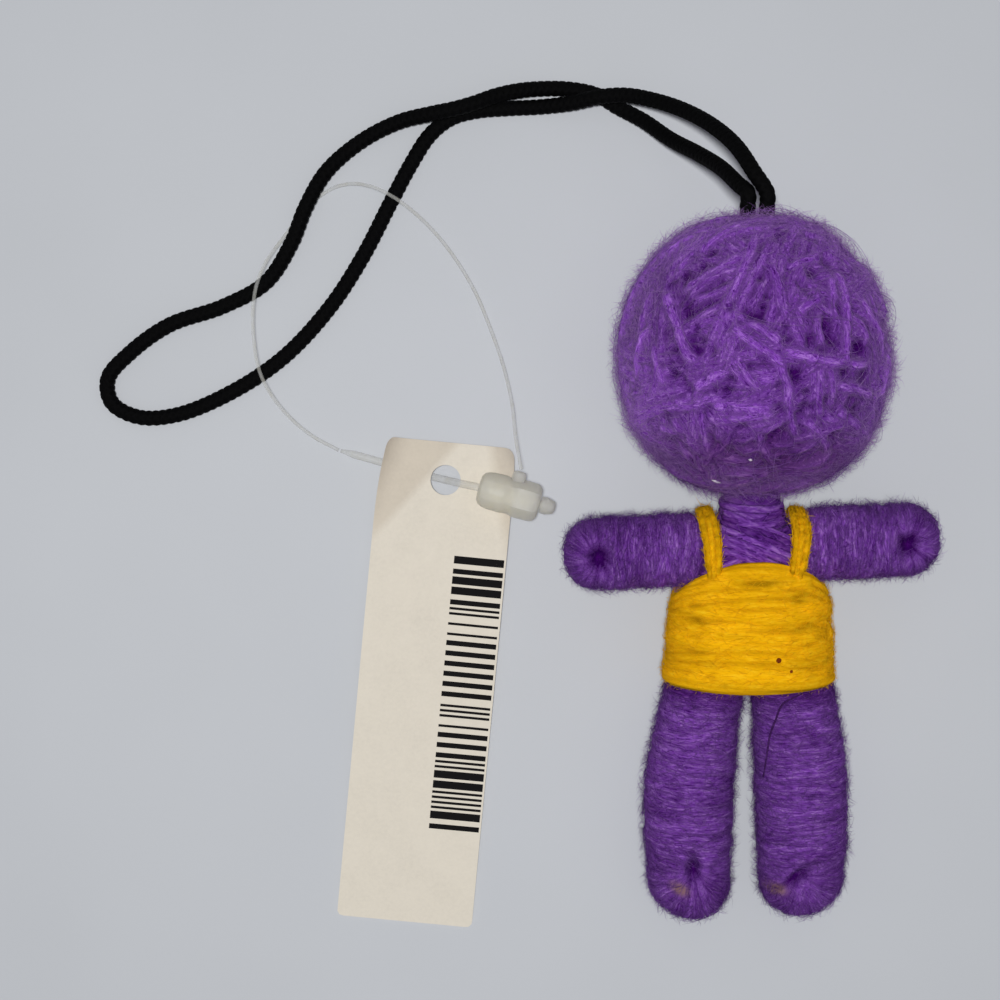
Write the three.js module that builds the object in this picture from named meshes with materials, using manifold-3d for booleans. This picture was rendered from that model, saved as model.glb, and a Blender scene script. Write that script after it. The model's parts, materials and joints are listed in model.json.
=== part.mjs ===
// A wound-yarn doll charm lying on its back: a ball head, four padded limbs on bent wire, a vest of yellow
// yarn, a hanging cord out of the crown, and a card tag held on that cord by a nylon loop fastener.
// Millimetres, +Z up, head towards +Y, front towards +Z. The origin is on the surface, below the doll.

import * as THREE from "three";
import { mergeVertices } from "three/addons/utils/BufferGeometryUtils.js";
import Module from "manifold-3d";

const wasm = await Module();
wasm.setup();

// Yarn, wire and fits
const YARN = 0.85; // thickness of one wound strand
const TURN_GAP = 0.45; // gap between two turns or two layers
const SEAT = 0.3; // gap where one piece rests on another
const WIRE = 1.0; // armature wire
const FLOOR_FLAT = 0.5; // depth to which head and heels are pressed flat by the surface

// Head
const HEAD_WIDTH = 36;
const HEAD_LENGTH = 37.1; // along the neck
const HEAD_TURNS = 14;
const HEAD_TILT = 24; // degrees between the winding's axis and the neck
const HEAD_CAP = 37; // degrees left bare round the winding's own poles
const HEAD_WANDER = 5; // degrees by which a turn strays to each side
const UNDERWRAP_WALL = 0.9;
const BORE = 5.2; // bore through the ball for the doubled cord

// Trunk, measured up from the vest's hem
const SHOULDER_HEIGHT = 17.7;
const SHOULDER_SPAN = 17.2; // between the two shoulder bends
const ARM_SLANT = 2.6; // degrees, the cross wire sits a little askew
const CHEST_WIDTH = 13.6;
const CHEST_DEPTH = 9.6;
const NECK_RISE = 5.9; // from the shoulder line to the top of the neck
const NECK_RADIUS = 3.0;
const HEM_WIDTH = 22.4; // over the yarn
const VEST_TAPER = 0.09; // lost in half width per millimetre upwards
const FLATNESS = 0.72; // depth over width of the trunk
const VEST_SIDE = 11.2; // height of the vest's top turn under the arms
const VEST_FRONT = 16.2; // height of the same turn at the front and back
const VEST_TURNS = 8;
const SLEEVE_WALL = 0.8;
const STRAP_LEAN = 6.3; // degrees outwards
const STRAP_INSET = 3.4; // from the shoulder bend inwards to where a strap meets the vest

// Limbs
const ARM_RADIUS = 4.8;
const ARM_LENGTH = 15.6; // from the shoulder bend to the tip
const ARM_TURNS = 6;
const HIP_DROP = 4.0; // the hip bend lies this far below the hem
const HIP_SPREAD = 11.8; // between the two hip bends
const HIP_RADIUS = 5.75;
const FOOT_RADIUS = 6.0;
const LEG_LENGTH = 28; // from the hip bend to the toe
const LEG_SWELL = 0.25;
const LEG_SPLAY = 3.5; // degrees outwards
const LEG_TURNS = 12;
const EYE_LOOP = 2.2; // radius of the wire eye in each hand and foot

// Hanging cord
const CORD = 2.1;
const CORD_PITCH = 2.4; // between its two strands in the crown

// Tag and its fastener
const TAG_LENGTH = 64;
const TAG_WIDTH = 18;
const TAG_THICKNESS = 0.35;
const TAG_HOLE = 4;
const TAG_HOLE_INSET = 5; // hole centre to top edge
const TAG_LIFT = 2.0; // the card's upper end stands this far off the surface
const TAG_TURN = -5.4; // degrees
const STEM = 1.2;
const FILAMENT = 0.5;
const LOCK_RADIUS = 2.4;
const LOCK_LENGTH = 8.3;

const RAD = Math.PI / 180;
const V = (x, y, z = 0) => new THREE.Vector3(x, y, z);
const P = (x, y) => new THREE.Vector2(x, y);
const lerp = THREE.MathUtils.lerp;

const paint = (color, roughness, metalness = 0) =>
  new THREE.MeshStandardMaterial({ color, roughness, metalness });
const PURPLE = paint(0x683a8c, 0.95);
const YELLOW = paint(0xe1a514, 0.92);
const WADDING = paint(0x5a3378, 0.98);
const FOAM = paint(0xeeeae0, 0.85);
const STEEL = paint(0x9a9a9c, 0.4, 1);
const BLACK = paint(0x0c0c0e, 0.8);
const CARD = paint(0xd9cfbe, 0.85);
const NYLON = paint(0xd6d9cd, 0.35);

// A geometry as an exact solid, and a solid as a geometry
function solid(geometry) {
  const bare = geometry.index ? geometry.toNonIndexed() : geometry.clone();
  bare.deleteAttribute("normal");
  bare.deleteAttribute("uv");
  const merged = mergeVertices(bare, 1e-4);
  return new wasm.Manifold(
    new wasm.Mesh({
      numProp: 3,
      vertProperties: new Float32Array(merged.attributes.position.array),
      triVerts: new Uint32Array(merged.index.array),
    }),
  );
}

function surface(body) {
  const data = body.getMesh();
  const geometry = new THREE.BufferGeometry();
  geometry.setAttribute("position", new THREE.BufferAttribute(data.vertProperties, 3));
  geometry.setIndex(new THREE.BufferAttribute(data.triVerts, 1));
  geometry.computeVertexNormals();
  return geometry;
}

function piece(name, shape, material) {
  const mesh = new THREE.Mesh(shape.isBufferGeometry ? shape : surface(shape), material);
  mesh.name = name;
  return mesh;
}

// A round tube along a curve, with flat ends
function tube(curve, diameter, sides, steps) {
  const corners = Array.from({ length: sides }, (_, i) => {
    const a = (2 * Math.PI * i) / sides;
    return P((diameter / 2) * Math.cos(a), (diameter / 2) * Math.sin(a));
  });
  const along = { steps, extrudePath: curve, bevelEnabled: false };
  return new THREE.ExtrudeGeometry(new THREE.Shape(corners), along);
}

const spline = (points) => new THREE.CatmullRomCurve3(points, false, "centripetal");
const lathe = (points, segments) => new THREE.LatheGeometry(points, segments);
const ball = (radius, at, around, down) =>
  solid(new THREE.SphereGeometry(radius, around, down).translate(at.x, at.y, at.z));

// The channel that a wire lies in: the same tube, wider all round and past both ends
function room(curve, steps) {
  const ends = [0, 1].map((t) => ball(WIRE / 2 + SEAT, curve.getPoint(t), 8, 5));
  return solid(tube(curve, WIRE + 2 * SEAT, 5, steps)).add(ends[0]).add(ends[1]);
}

// A closed skin through elliptical rings {y, w, d}, half width and half depth, stacked along y
function loft(rings, segments) {
  const at = [];
  const faces = [];
  rings.forEach(({ y, w, d }) => {
    for (let i = 0; i < segments; i += 1) {
      const a = (2 * Math.PI * i) / segments;
      at.push(w * Math.cos(a), y, -d * Math.sin(a));
    }
  });
  for (let k = 0; k + 1 < rings.length; k += 1) {
    for (let i = 0; i < segments; i += 1) {
      const a = k * segments + i;
      const b = k * segments + ((i + 1) % segments);
      faces.push(a, b, b + segments, a, b + segments, a + segments);
    }
  }
  const low = at.length / 3;
  const last = (rings.length - 1) * segments;
  at.push(0, rings[0].y, 0, 0, rings[rings.length - 1].y, 0);
  for (let i = 0; i < segments; i += 1) {
    const j = (i + 1) % segments;
    faces.push(low, j, i, low + 1, last + i, last + j);
  }
  const geometry = new THREE.BufferGeometry();
  geometry.setAttribute("position", new THREE.Float32BufferAttribute(at, 3));
  geometry.setIndex(faces);
  return geometry;
}

// A wound strand: place(u) gives the centre of the strand after u turns
class Winding extends THREE.Curve {
  constructor(turns, place) {
    super();
    this.turns = turns;
    this.place = place;
    this.arcLengthDivisions = Math.ceil(turns * 48);
  }

  getPoint(t, target = V(0, 0)) {
    return target.copy(this.place(t * this.turns));
  }
}

// The wound strand as one unbroken tube; its least gap to itself is measured on points and printed
function wind(name, turns, place, material, stepsPerTurn, sides) {
  const curve = new Winding(turns, place);
  const steps = Math.round(turns * stepsPerTurn);
  const points = curve.getSpacedPoints(steps * 2);
  let least = Infinity;
  for (let i = 0; i < points.length; i += 1) {
    for (let j = i + stepsPerTurn; j < points.length; j += 1) {
      least = Math.min(least, points[i].distanceTo(points[j]));
    }
  }
  console.log(`${name}: ${turns.toFixed(1)} turns, least gap to itself ${(least - YARN).toFixed(2)} mm`);
  return piece(name, tube(curve, YARN, sides, steps), material);
}

const doll = new THREE.Group();
doll.name = "doll";

// Heights along the body
const neckTop = SHOULDER_HEIGHT + NECK_RISE;
const headHeight = neckTop + SEAT + HEAD_LENGTH / 2;
const headRadius = HEAD_WIDTH / 2;
const headStretch = HEAD_LENGTH / HEAD_WIDTH;

// Head: foam ball, plain under-layers of yarn, and the outer turns
const wrapRadius = headRadius - YARN - SEAT;
const wrapInner = wrapRadius - UNDERWRAP_WALL;
const ballRadius = wrapInner * 0.975 - SEAT;
const boreRadius = BORE / 2;
const knotRadius = boreRadius;
const pocketRadius = Math.max(knotRadius, NECK_RADIUS) + SEAT;
const knotHeight = 4.4;
const knotBase = headHeight - ballRadius * 0.78;
const pocketTop = knotBase + knotHeight + SEAT;

const head = new THREE.Group();
head.position.y = headHeight;
doll.add(head);

// Profile of a sphere with a bore through it, from the lower rim round to the upper rim
function rimmedArc(radius, lowerBore, upperBore, steps) {
  const from = -Math.PI / 2 + Math.asin(lowerBore / radius);
  const to = Math.PI / 2 - Math.asin(upperBore / radius);
  return Array.from({ length: steps + 1 }, (_, i) => {
    const a = lerp(from, to, i / steps);
    return P(radius * Math.cos(a), radius * Math.sin(a));
  });
}

const ballArc = rimmedArc(ballRadius, pocketRadius, boreRadius, 9);
const pocketCeiling = (pocketTop - headHeight) / headStretch;
const ballProfile = [
  ...ballArc,
  P(boreRadius, pocketCeiling),
  P(pocketRadius, pocketCeiling),
  ballArc[0].clone(),
];
head.add(piece("head_ball", lathe(ballProfile, 16).scale(1, headStretch, 1), FOAM));

const wrapArc = rimmedArc(wrapRadius, pocketRadius, boreRadius, 10);
const wrapBack = rimmedArc(wrapInner, pocketRadius, boreRadius, 10).reverse();
const wrapProfile = [...wrapArc, ...wrapBack, wrapArc[0].clone()];
head.add(piece("head_underwrap", lathe(wrapProfile, 20).scale(1, headStretch, 1), PURPLE));

const headPlace = (u) => {
  const turn = 2 * Math.PI * u;
  const stray = HEAD_WANDER * Math.sin(turn + 0.3 * u);
  const polar = (lerp(HEAD_CAP, 180 - HEAD_CAP, u / HEAD_TURNS) + stray) * RAD;
  const p = V(Math.sin(polar) * Math.cos(turn), Math.cos(polar), Math.sin(polar) * Math.sin(turn));
  p.applyAxisAngle(V(0, 0, 1), HEAD_TILT * RAD).multiplyScalar(headRadius - YARN / 2);
  return p.multiply(V(1, headStretch, 1));
};
head.add(wind("head_winding", HEAD_TURNS, headPlace, PURPLE, 18, 5));

// Trunk layers: outer half width at a height, and the offsets of each layer inwards
const vestWidth = (y) => HEM_WIDTH / 2 - VEST_TAPER * y;
const layer = (y, inset) => ({ y, w: vestWidth(y) - inset, d: vestWidth(y) * FLATNESS - inset });
const sleeveOut = YARN + SEAT;
const sleeveIn = sleeveOut + SLEEVE_WALL;
const coreInset = sleeveIn + SEAT;
const coreBase = SEAT * 3;
const shoulderTop = SHOULDER_HEIGHT + 2.4;
const shoulderX = SHOULDER_SPAN / 2;
const hipX = HIP_SPREAD / 2;

const shoulderSkew = shoulderX * Math.tan(ARM_SLANT * RAD);
const shoulderAt = (side) => V(side * shoulderX, SHOULDER_HEIGHT + side * shoulderSkew);
const hipAt = (side) => V(side * hipX, -HIP_DROP);
const sockets = [-1, 1].flatMap((side) => [
  ball(ARM_RADIUS + SEAT, shoulderAt(side), 18, 10),
  ball(HIP_RADIUS + SEAT, hipAt(side), 18, 10),
]);
const cutSockets = (body) => sockets.reduce((left, socket) => left.subtract(socket), body);

// Body wire, bent double: an eye inside the head's pocket, two runs down the back, ends at the hips
const spineDepth = -(WIRE + SEAT + 0.1);
const spineHalf = WIRE * 0.75;
const spineTop = knotBase - SEAT - WIRE / 2;
const spineSide = (s) => [
  V(s * (hipX - 0.3), -HIP_DROP + HIP_RADIUS + 2 * SEAT, 0),
  V(s * hipX * 0.72, SHOULDER_HEIGHT * 0.29, spineDepth * 0.3),
  V(s * hipX * 0.36, SHOULDER_HEIGHT * 0.48, spineDepth * 0.8),
  V(s * spineHalf, SHOULDER_HEIGHT * 0.72, spineDepth),
  V(s * spineHalf, SHOULDER_HEIGHT, spineDepth),
  V(s * spineHalf, neckTop, spineDepth),
  V(s * spineHalf, spineTop - spineHalf, spineDepth),
  V(s * spineHalf * 0.7, spineTop - spineHalf * 0.3, spineDepth),
];
const spineCurve = spline([...spineSide(-1), V(0, spineTop, spineDepth), ...spineSide(1).reverse()]);
doll.add(piece("spine_wire", tube(spineCurve, WIRE, 5, 26), STEEL));
const spineRoom = room(spineCurve, 26);

// Cross wire through the chest, ending at the two shoulder sockets
const crossLength = 2 * (shoulderX / Math.cos(ARM_SLANT * RAD) - ARM_RADIUS - 2 * SEAT);
function crossRod(diameter, length) {
  return new THREE.CylinderGeometry(diameter / 2, diameter / 2, length, 8)
    .rotateZ((ARM_SLANT - 90) * RAD)
    .translate(0, SHOULDER_HEIGHT, 0);
}
doll.add(piece("shoulder_wire", crossRod(WIRE, crossLength), STEEL));
const crossRoom = solid(crossRod(WIRE + 2 * SEAT, SHOULDER_SPAN));

// Wadding of the trunk, with the neck
const chestBase = VEST_FRONT - 1;
const coreRings = [
  layer(coreBase, coreInset),
  layer(VEST_SIDE * 0.5, coreInset),
  layer(VEST_SIDE, coreInset),
  { y: chestBase, w: lerp(layer(chestBase, coreInset).w, CHEST_WIDTH / 2, 0.4), d: CHEST_DEPTH / 2 },
  { y: SHOULDER_HEIGHT, w: CHEST_WIDTH / 2, d: CHEST_DEPTH / 2 },
  { y: lerp(SHOULDER_HEIGHT, shoulderTop, 0.6), w: CHEST_WIDTH * 0.44, d: CHEST_DEPTH * 0.46 },
  { y: shoulderTop, w: CHEST_WIDTH * 0.34, d: CHEST_DEPTH * 0.38 },
];
const neckLength = headHeight - wrapInner * headStretch - SHOULDER_HEIGHT;
const neckPost = new THREE.CylinderGeometry(NECK_RADIUS, NECK_RADIUS, neckLength, 18)
  .translate(0, SHOULDER_HEIGHT + neckLength / 2, 0);
const trunk = solid(loft(coreRings, 24)).add(solid(neckPost));
doll.add(piece("torso_core", cutSockets(trunk).subtract(spineRoom).subtract(crossRoom), WADDING));

// Neck turns
const neckLine = NECK_RADIUS + SEAT + YARN / 2;
const neckLow = shoulderTop + SEAT + YARN / 2;
const neckHigh = neckTop - YARN / 2;
const neckTurns = (neckHigh - neckLow) / (YARN + TURN_GAP);
const neckPlace = (u) => {
  const a = 2 * Math.PI * u;
  return V(neckLine * Math.cos(a), lerp(neckLow, neckHigh, u / neckTurns), neckLine * Math.sin(a));
};
doll.add(wind("neck_winding", neckTurns, neckPlace, PURPLE, 12, 5));

// Vest: under-layers as a plain sleeve, then the outer turns, arched up between the arms front and back
const vestTop = (a) => VEST_SIDE + (VEST_FRONT - VEST_SIDE) * Math.sin(a) ** 2;
const vestBase = SEAT + YARN / 2;
const vestPlace = (u) => {
  const a = 2 * Math.PI * u;
  const y = lerp(vestBase, vestTop(a), u / VEST_TURNS);
  const ring = layer(y, YARN / 2);
  return V(ring.w * Math.cos(a), y, ring.d * Math.sin(a));
};
doll.add(wind("vest_winding", VEST_TURNS, vestPlace, YELLOW, 20, 5));

const sleeveRings = (inset, from, to) => [from, (from + to) / 2, to].map((y) => layer(y, inset));
const sleeveBlank = solid(loft(sleeveRings(sleeveOut, coreBase, VEST_SIDE), 24));
const sleeveRoom = solid(loft(sleeveRings(sleeveIn, coreBase - 2, VEST_SIDE + 2), 24));
doll.add(piece("vest_sleeve", cutSockets(sleeveBlank.subtract(sleeveRoom)), YELLOW));

// Straps: two strands side by side in one arch over each shoulder, down to the vest front and back
const strapStrand = YARN * 1.35;
const strapRise = neckTop - SHOULDER_HEIGHT - SEAT;
const strapDepth = layer(VEST_FRONT, 0).d * 0.87;
const strapFoot = lerp(VEST_SIDE, VEST_FRONT, 0.7) + YARN / 2 + SEAT + strapStrand / 4;
function strap(name, side) {
  const strand = (offset) => {
    const arch = [V(offset, strapFoot - SHOULDER_HEIGHT, strapDepth)];
    for (let i = 0; i <= 6; i += 1) {
      const a = (Math.PI * i) / 6;
      arch.push(V(offset, strapRise * Math.sin(a), strapDepth * Math.cos(a)));
    }
    arch.push(V(offset, strapFoot - SHOULDER_HEIGHT, -strapDepth));
    return solid(tube(spline(arch), strapStrand, 5, 14));
  };
  const pair = strand(-strapStrand * 0.42).add(strand(strapStrand * 0.42));
  const mesh = piece(name, pair, YELLOW);
  mesh.rotation.z = -side * STRAP_LEAN * RAD;
  const lift = (SHOULDER_HEIGHT - strapFoot) * Math.tan(STRAP_LEAN * RAD);
  mesh.position.set(side * (shoulderX - STRAP_INSET + lift), SHOULDER_HEIGHT, 0);
  return mesh;
}
doll.add(strap("left_strap", -1), strap("right_strap", 1));

// One limb along +y from its bend: wire with an eye, wadding roll with a dimple through that eye, and turns
function limb(name, { root, tip, swell, length, turns, woundTo }) {
  const centre = length - tip;
  const outer = (s) => lerp(root, tip, s / centre) + swell * Math.sin((Math.PI * s) / centre);
  const waist = (s) => outer(s) - YARN - SEAT;
  const woundFrom = SEAT * 1.7;
  const quarter = (radius, y, from, steps) =>
    Array.from({ length: steps + 1 }, (_, i) => {
      const a = (from + (90 * i) / steps) * RAD;
      return P(Math.max(0, radius * Math.cos(a)), y + radius * Math.sin(a));
    });
  const between = (f, steps) =>
    Array.from({ length: steps + 1 }, (_, i) => {
      const s = lerp(woundFrom, woundTo, i / steps);
      return P(f(s), s);
    });
  const profile = [
    ...quarter(root, 0, -90, 4),
    P(outer(woundFrom), woundFrom),
    ...between(waist, 3),
    P(outer(woundTo), woundTo),
    ...quarter(tip, centre, 0, 4),
  ];
  profile[0].x = 0;
  profile[profile.length - 1].x = 0;

  const loop = Array.from({ length: 9 }, (_, i) => {
    const a = (-55 + (285 * i) / 8) * RAD;
    return V(EYE_LOOP * Math.cos(a), centre + EYE_LOOP * Math.sin(a));
  });
  const start = SEAT - root;
  const hook = spline([V(0, start), V(0, (start + centre) / 2), V(0, centre - EYE_LOOP * 1.75), ...loop]);
  const wire = piece(`${name}_wire`, tube(hook, WIRE, 5, 14), STEEL);
  const wireRoom = room(hook, 14);

  const eyeThroat = EYE_LOOP - WIRE / 2 - 2 * SEAT - 0.4;
  const eyeMouth = eyeThroat + 0.9;
  const reach = tip + 1;
  const eye = lathe(
    [P(0, -tip * 0.3), P(eyeThroat, -tip * 0.3), P(eyeThroat, tip * 0.45), P(eyeMouth, reach), P(0, reach)],
    8,
  ).rotateX(Math.PI / 2).translate(0, centre, 0);
  const roll = solid(lathe(profile, 14)).subtract(wireRoom).subtract(solid(eye));

  const first = woundFrom + YARN / 2 + SEAT / 2;
  const final = woundTo - YARN / 2 - SEAT / 2;
  const place = (u) => {
    const a = 2 * Math.PI * u;
    const s = lerp(first, final, u / turns);
    const r = outer(s) - YARN / 2;
    return V(r * Math.cos(a), s, r * Math.sin(a));
  };
  const group = new THREE.Group();
  group.add(wire, piece(`${name}_core`, roll, WADDING), wind(`${name}_winding`, turns, place, PURPLE, 12, 4));
  return group;
}

const armPitch = YARN + TURN_GAP;
const arm = {
  root: ARM_RADIUS,
  tip: ARM_RADIUS,
  swell: 0.05,
  length: ARM_LENGTH,
  turns: ARM_TURNS,
  woundTo: ARM_TURNS * armPitch + YARN + SEAT * 2.7,
};
const leg = {
  root: HIP_RADIUS,
  tip: FOOT_RADIUS,
  swell: LEG_SWELL,
  length: LEG_LENGTH,
  turns: LEG_TURNS,
  woundTo: (LEG_LENGTH - FOOT_RADIUS) * 0.85,
};
[["left", -1], ["right", 1]].forEach(([word, side]) => {
  const armGroup = limb(`${word}_arm`, arm);
  armGroup.position.copy(shoulderAt(side));
  armGroup.rotation.z = (ARM_SLANT - side * 90) * RAD;
  const legGroup = limb(`${word}_leg`, leg);
  legGroup.position.copy(hipAt(side));
  legGroup.rotation.z = (180 + side * LEG_SPLAY) * RAD;
  doll.add(armGroup, legGroup);
});

// The doll leans so that the back of its head and both heels touch the surface
const footHeight = -HIP_DROP - (LEG_LENGTH - FOOT_RADIUS) * Math.cos(LEG_SPLAY * RAD);
const lean = Math.asin((headRadius - FOOT_RADIUS) / (headHeight - footHeight));
doll.rotation.x = lean;
doll.position.z = headRadius - FLOOR_FLAT - headHeight * Math.sin(lean);
doll.updateMatrixWorld(true);

// What rests on the surface is pressed flat there
const ground = new THREE.BoxGeometry(400, 400, 40).translate(0, 0, -20);
doll.traverse((node) => {
  if (!node.isMesh) {
    return;
  }
  const box = new THREE.Box3().setFromObject(node, true);
  if (box.min.z < 0) {
    const slab = ground.clone().applyMatrix4(node.matrixWorld.clone().invert());
    node.geometry = surface(solid(node.geometry).subtract(solid(slab)));
  }
});

// Set the origin under the middle of the doll
const extent = new THREE.Box3().setFromObject(doll, true);
doll.position.x -= (extent.min.x + extent.max.x) / 2;
doll.position.y -= (extent.min.y + extent.max.y) / 2;
doll.updateMatrixWorld(true);
const onDoll = (x, y, z = 0) => doll.localToWorld(V(x, y, z));

// Hanging cord: up out of the crown, down to the surface, twice across itself, round its loop and back
const crownHeight = headHeight + HEAD_LENGTH / 2;
const cordRun = (side) => [
  onDoll((side * CORD_PITCH) / 2, knotBase + knotHeight + SEAT),
  onDoll((side * CORD_PITCH) / 2, headHeight),
  onDoll((side * CORD_PITCH) / 2, crownHeight),
  onDoll((side * CORD_PITCH) / 2, crownHeight + 1.5),
];
const CORD_ROUTE = [
  [-0.4, 50.3, 20.4], [-2.3, 53.9, 17.6], [-4.9, 57.1, 13.6], [-8.3, 59.8, 9.4], [-11.9, 61.6, 6.2],
  [-15.6, 62.6, 4.3], [-19.1, 62.5, 3.6], [-22.6, 61.9, 2.4], [-26.6, 61.6, 1.2], [-31.0, 61.4, 1.05],
  [-35.2, 61.05, 1.05], [-38.6, 60.1, 1.05], [-41.4, 57.9, 1.05], [-44.0, 53.9, 1.05], [-46.7, 48.8, 1.05],
  [-50.3, 41.8, 1.05], [-54.7, 35.0, 1.05], [-60.8, 28.4, 1.05], [-67.6, 23.8, 1.05], [-75.0, 20.7, 1.05],
  [-80.2, 20.4, 1.05], [-83.7, 22.3, 1.05], [-84.2, 25.5, 1.05], [-81.3, 28.9, 1.05], [-76.1, 32.6, 1.05],
  [-68.9, 35.1, 1.05], [-63.2, 38.3, 1.1], [-59.8, 43.4, 1.7], [-57.9, 48.1, 2.0], [-55.2, 52.9, 1.5],
  [-50.6, 57.0, 1.05], [-45.6, 59.5, 1.6], [-41.2, 60.4, 3.0], [-38.3, 60.9, 3.6], [-35.5, 61.7, 3.5],
  [-32.8, 62.75, 2.9], [-30.2, 63.45, 2.35], [-27.4, 63.9, 1.55], [-23.0, 63.95, 1.1], [-19.3, 63.2, 1.05],
  [-16.4, 61.5, 1.2], [-13.2, 59.55, 2.6], [-9.8, 56.6, 5.8], [-6.6, 54.0, 10.8], [-4.0, 51.4, 15.8],
  [-2.25, 48.95, 19.2],
];
const cordCurve = spline([...cordRun(1), ...CORD_ROUTE.map((p) => V(...p)), ...cordRun(-1).reverse()]);
cordCurve.arcLengthDivisions = 900;
console.log(`hang_cord: ${cordCurve.getLength().toFixed(1)} mm long`);

// Stopper knot of the cord, in the ball's pocket
const knotProfile = [
  P(0, 0), P(knotRadius * 0.7, 0), P(knotRadius, knotHeight * 0.22), P(knotRadius * 0.86, knotHeight * 0.5),
  P(knotRadius, knotHeight * 0.78), P(knotRadius * 0.7, knotHeight), P(0, knotHeight),
];
doll.add(piece("cord_knot", lathe(knotProfile, 12).translate(0, knotBase, 0), BLACK));

// Tag card, bowed along its length, with rounded corners and a punched hole
const HOLE_AT = V(-39.3, 12.0);
const bow = (t) => TAG_LIFT * (1 - t * t);
const bowSteps = 10;
const under = Array.from({ length: bowSteps + 1 }, (_, i) =>
  P(TAG_HOLE_INSET - (TAG_LENGTH * i) / bowSteps, bow(i / bowSteps)));
const over = under.map((p) => P(p.x, p.y + TAG_THICKNESS)).reverse();
const strip = new THREE.ExtrudeGeometry(new THREE.Shape([...under, ...over]), {
  depth: TAG_WIDTH,
  bevelEnabled: false,
});
strip.applyMatrix4(new THREE.Matrix4().makeBasis(V(0, 1), V(0, 0, 1), V(1, 0)));
strip.translate(-TAG_WIDTH / 2, 0, 0);
const corner = 1.4;
const [left, right] = [-TAG_WIDTH / 2, TAG_WIDTH / 2];
const [bottom, top] = [TAG_HOLE_INSET - TAG_LENGTH, TAG_HOLE_INSET];
const outline = new THREE.Shape();
outline.absarc(right - corner, top - corner, corner, 0, Math.PI / 2);
outline.absarc(left + corner, top - corner, corner, Math.PI / 2, Math.PI);
outline.absarc(left + corner / 2, bottom + corner / 2, corner / 2, Math.PI, 1.5 * Math.PI);
outline.absarc(right - corner / 2, bottom + corner / 2, corner / 2, 1.5 * Math.PI, 2 * Math.PI);
outline.closePath();
outline.holes.push(new THREE.Path().absarc(0, 0, TAG_HOLE / 2, 0, 2 * Math.PI, true));
const blank = new THREE.ExtrudeGeometry(outline, { depth: 12, bevelEnabled: false, curveSegments: 5 });
const card = piece("tag_card", solid(strip).intersect(solid(blank.translate(0, 0, -4))), CARD);
card.position.copy(HOLE_AT);
card.rotation.z = TAG_TURN * RAD;

// Loop fastener: barrel lock on the card, stem through the lock and the hole, filament round the cord
const lockHeight = TAG_LIFT + TAG_THICKNESS + SEAT + LOCK_RADIUS;
const LOCK_AT = V(-30.9, 9.9, lockHeight);
const LOCK_ANGLE = -15.4 * RAD;
const lockAlong = V(Math.cos(LOCK_ANGLE), Math.sin(LOCK_ANGLE));
const lockAside = V(-Math.sin(LOCK_ANGLE), Math.cos(LOCK_ANGLE));
const onLock = (along, aside = 0) =>
  LOCK_AT.clone().addScaledVector(lockAlong, along).addScaledVector(lockAside, aside);
const stemRoom = STEM / 2 + SEAT;
const half = LOCK_LENGTH / 2;
const lockProfile = [
  P(stemRoom, -half), P(LOCK_RADIUS * 0.8, -half), P(LOCK_RADIUS, -half * 0.8), P(LOCK_RADIUS, -half * 0.25),
  P(LOCK_RADIUS * 0.84, -half * 0.15), P(LOCK_RADIUS * 0.84, half * 0.15), P(LOCK_RADIUS, half * 0.25),
  P(LOCK_RADIUS, half * 0.8), P(LOCK_RADIUS * 0.74, half), P(stemRoom, half), P(stemRoom, -half),
];
const bossReach = LOCK_RADIUS + 1.1;
const boss = new THREE.CylinderGeometry(0.7, 0.9, bossReach - stemRoom - SEAT, 10)
  .rotateZ(LOCK_ANGLE)
  .translate(...onLock(0.6, (bossReach + stemRoom + SEAT) / 2).toArray());
const barrel = lathe(lockProfile, 12).rotateZ(LOCK_ANGLE - Math.PI / 2).translate(...LOCK_AT.toArray());
const lock = piece("tag_lock", solid(barrel).add(solid(boss)), NYLON);

const stemLow = STEM / 2 + 0.15;
const stemEnd = V(-53.3, 15.9, stemLow);
const stemCurve = spline([
  onLock(half + SEAT + 0.4), onLock(0), onLock(-half - 0.3), V(-37.2, 11.5, lockHeight - 1.1),
  V(-39.3, 12.0, TAG_LIFT + TAG_THICKNESS / 2 - 0.1), V(-41.3, 12.5, stemLow + 0.25), V(-44.5, 13.4, stemLow),
  V(-49.0, 14.7, stemLow), stemEnd,
]);
const tipProfile = [P(0, -0.6), P(STEM * 0.95, -0.6), P(STEM * 0.95, 0.1), P(STEM * 0.4, 1.4), P(0, 1.4)];
const stemTip = lathe(tipProfile, 10)
  .rotateZ(LOCK_ANGLE - Math.PI / 2)
  .translate(...onLock(half + SEAT + 0.6).toArray());
const stem = piece("tag_stem", solid(tube(stemCurve, STEM, 6, 18)).add(solid(stemTip)), NYLON);

const LOOP_ROUTE = [
  [-30.0, 17.4, 3.9], [-30.5, 22.0, 2.6], [-31.7, 27.3, 1.6], [-33.4, 32.2, 1.0], [-35.4, 37.0, 0.8],
  [-38.1, 41.5, 1.0], [-41.4, 45.5, 1.9], [-45.4, 48.9, 2.75], [-48.9, 50.8, 2.1], [-52.0, 51.4, 0.9],
  [-54.7, 50.7, 0.4], [-57.9, 48.2, 0.3], [-60.9, 44.3, 0.6], [-63.1, 40.9, 2.0], [-64.3, 37.7, 2.8],
  [-64.8, 34.6, 2.3], [-64.7, 30.6, 2.1], [-63.9, 26.4, 2.75], [-62.4, 23.3, 2.2], [-60.0, 20.3, 1.3],
  [-57.1, 17.9, 0.9],
];
const loopCurve = spline([
  onLock(0.6, bossReach + SEAT),
  ...LOOP_ROUTE.map((p) => V(...p)),
  stemEnd.clone().add(V(-0.29, 0.09, 0)),
]);
console.log(`tag_loop: ${loopCurve.getLength().toFixed(1)} mm long`);

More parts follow.
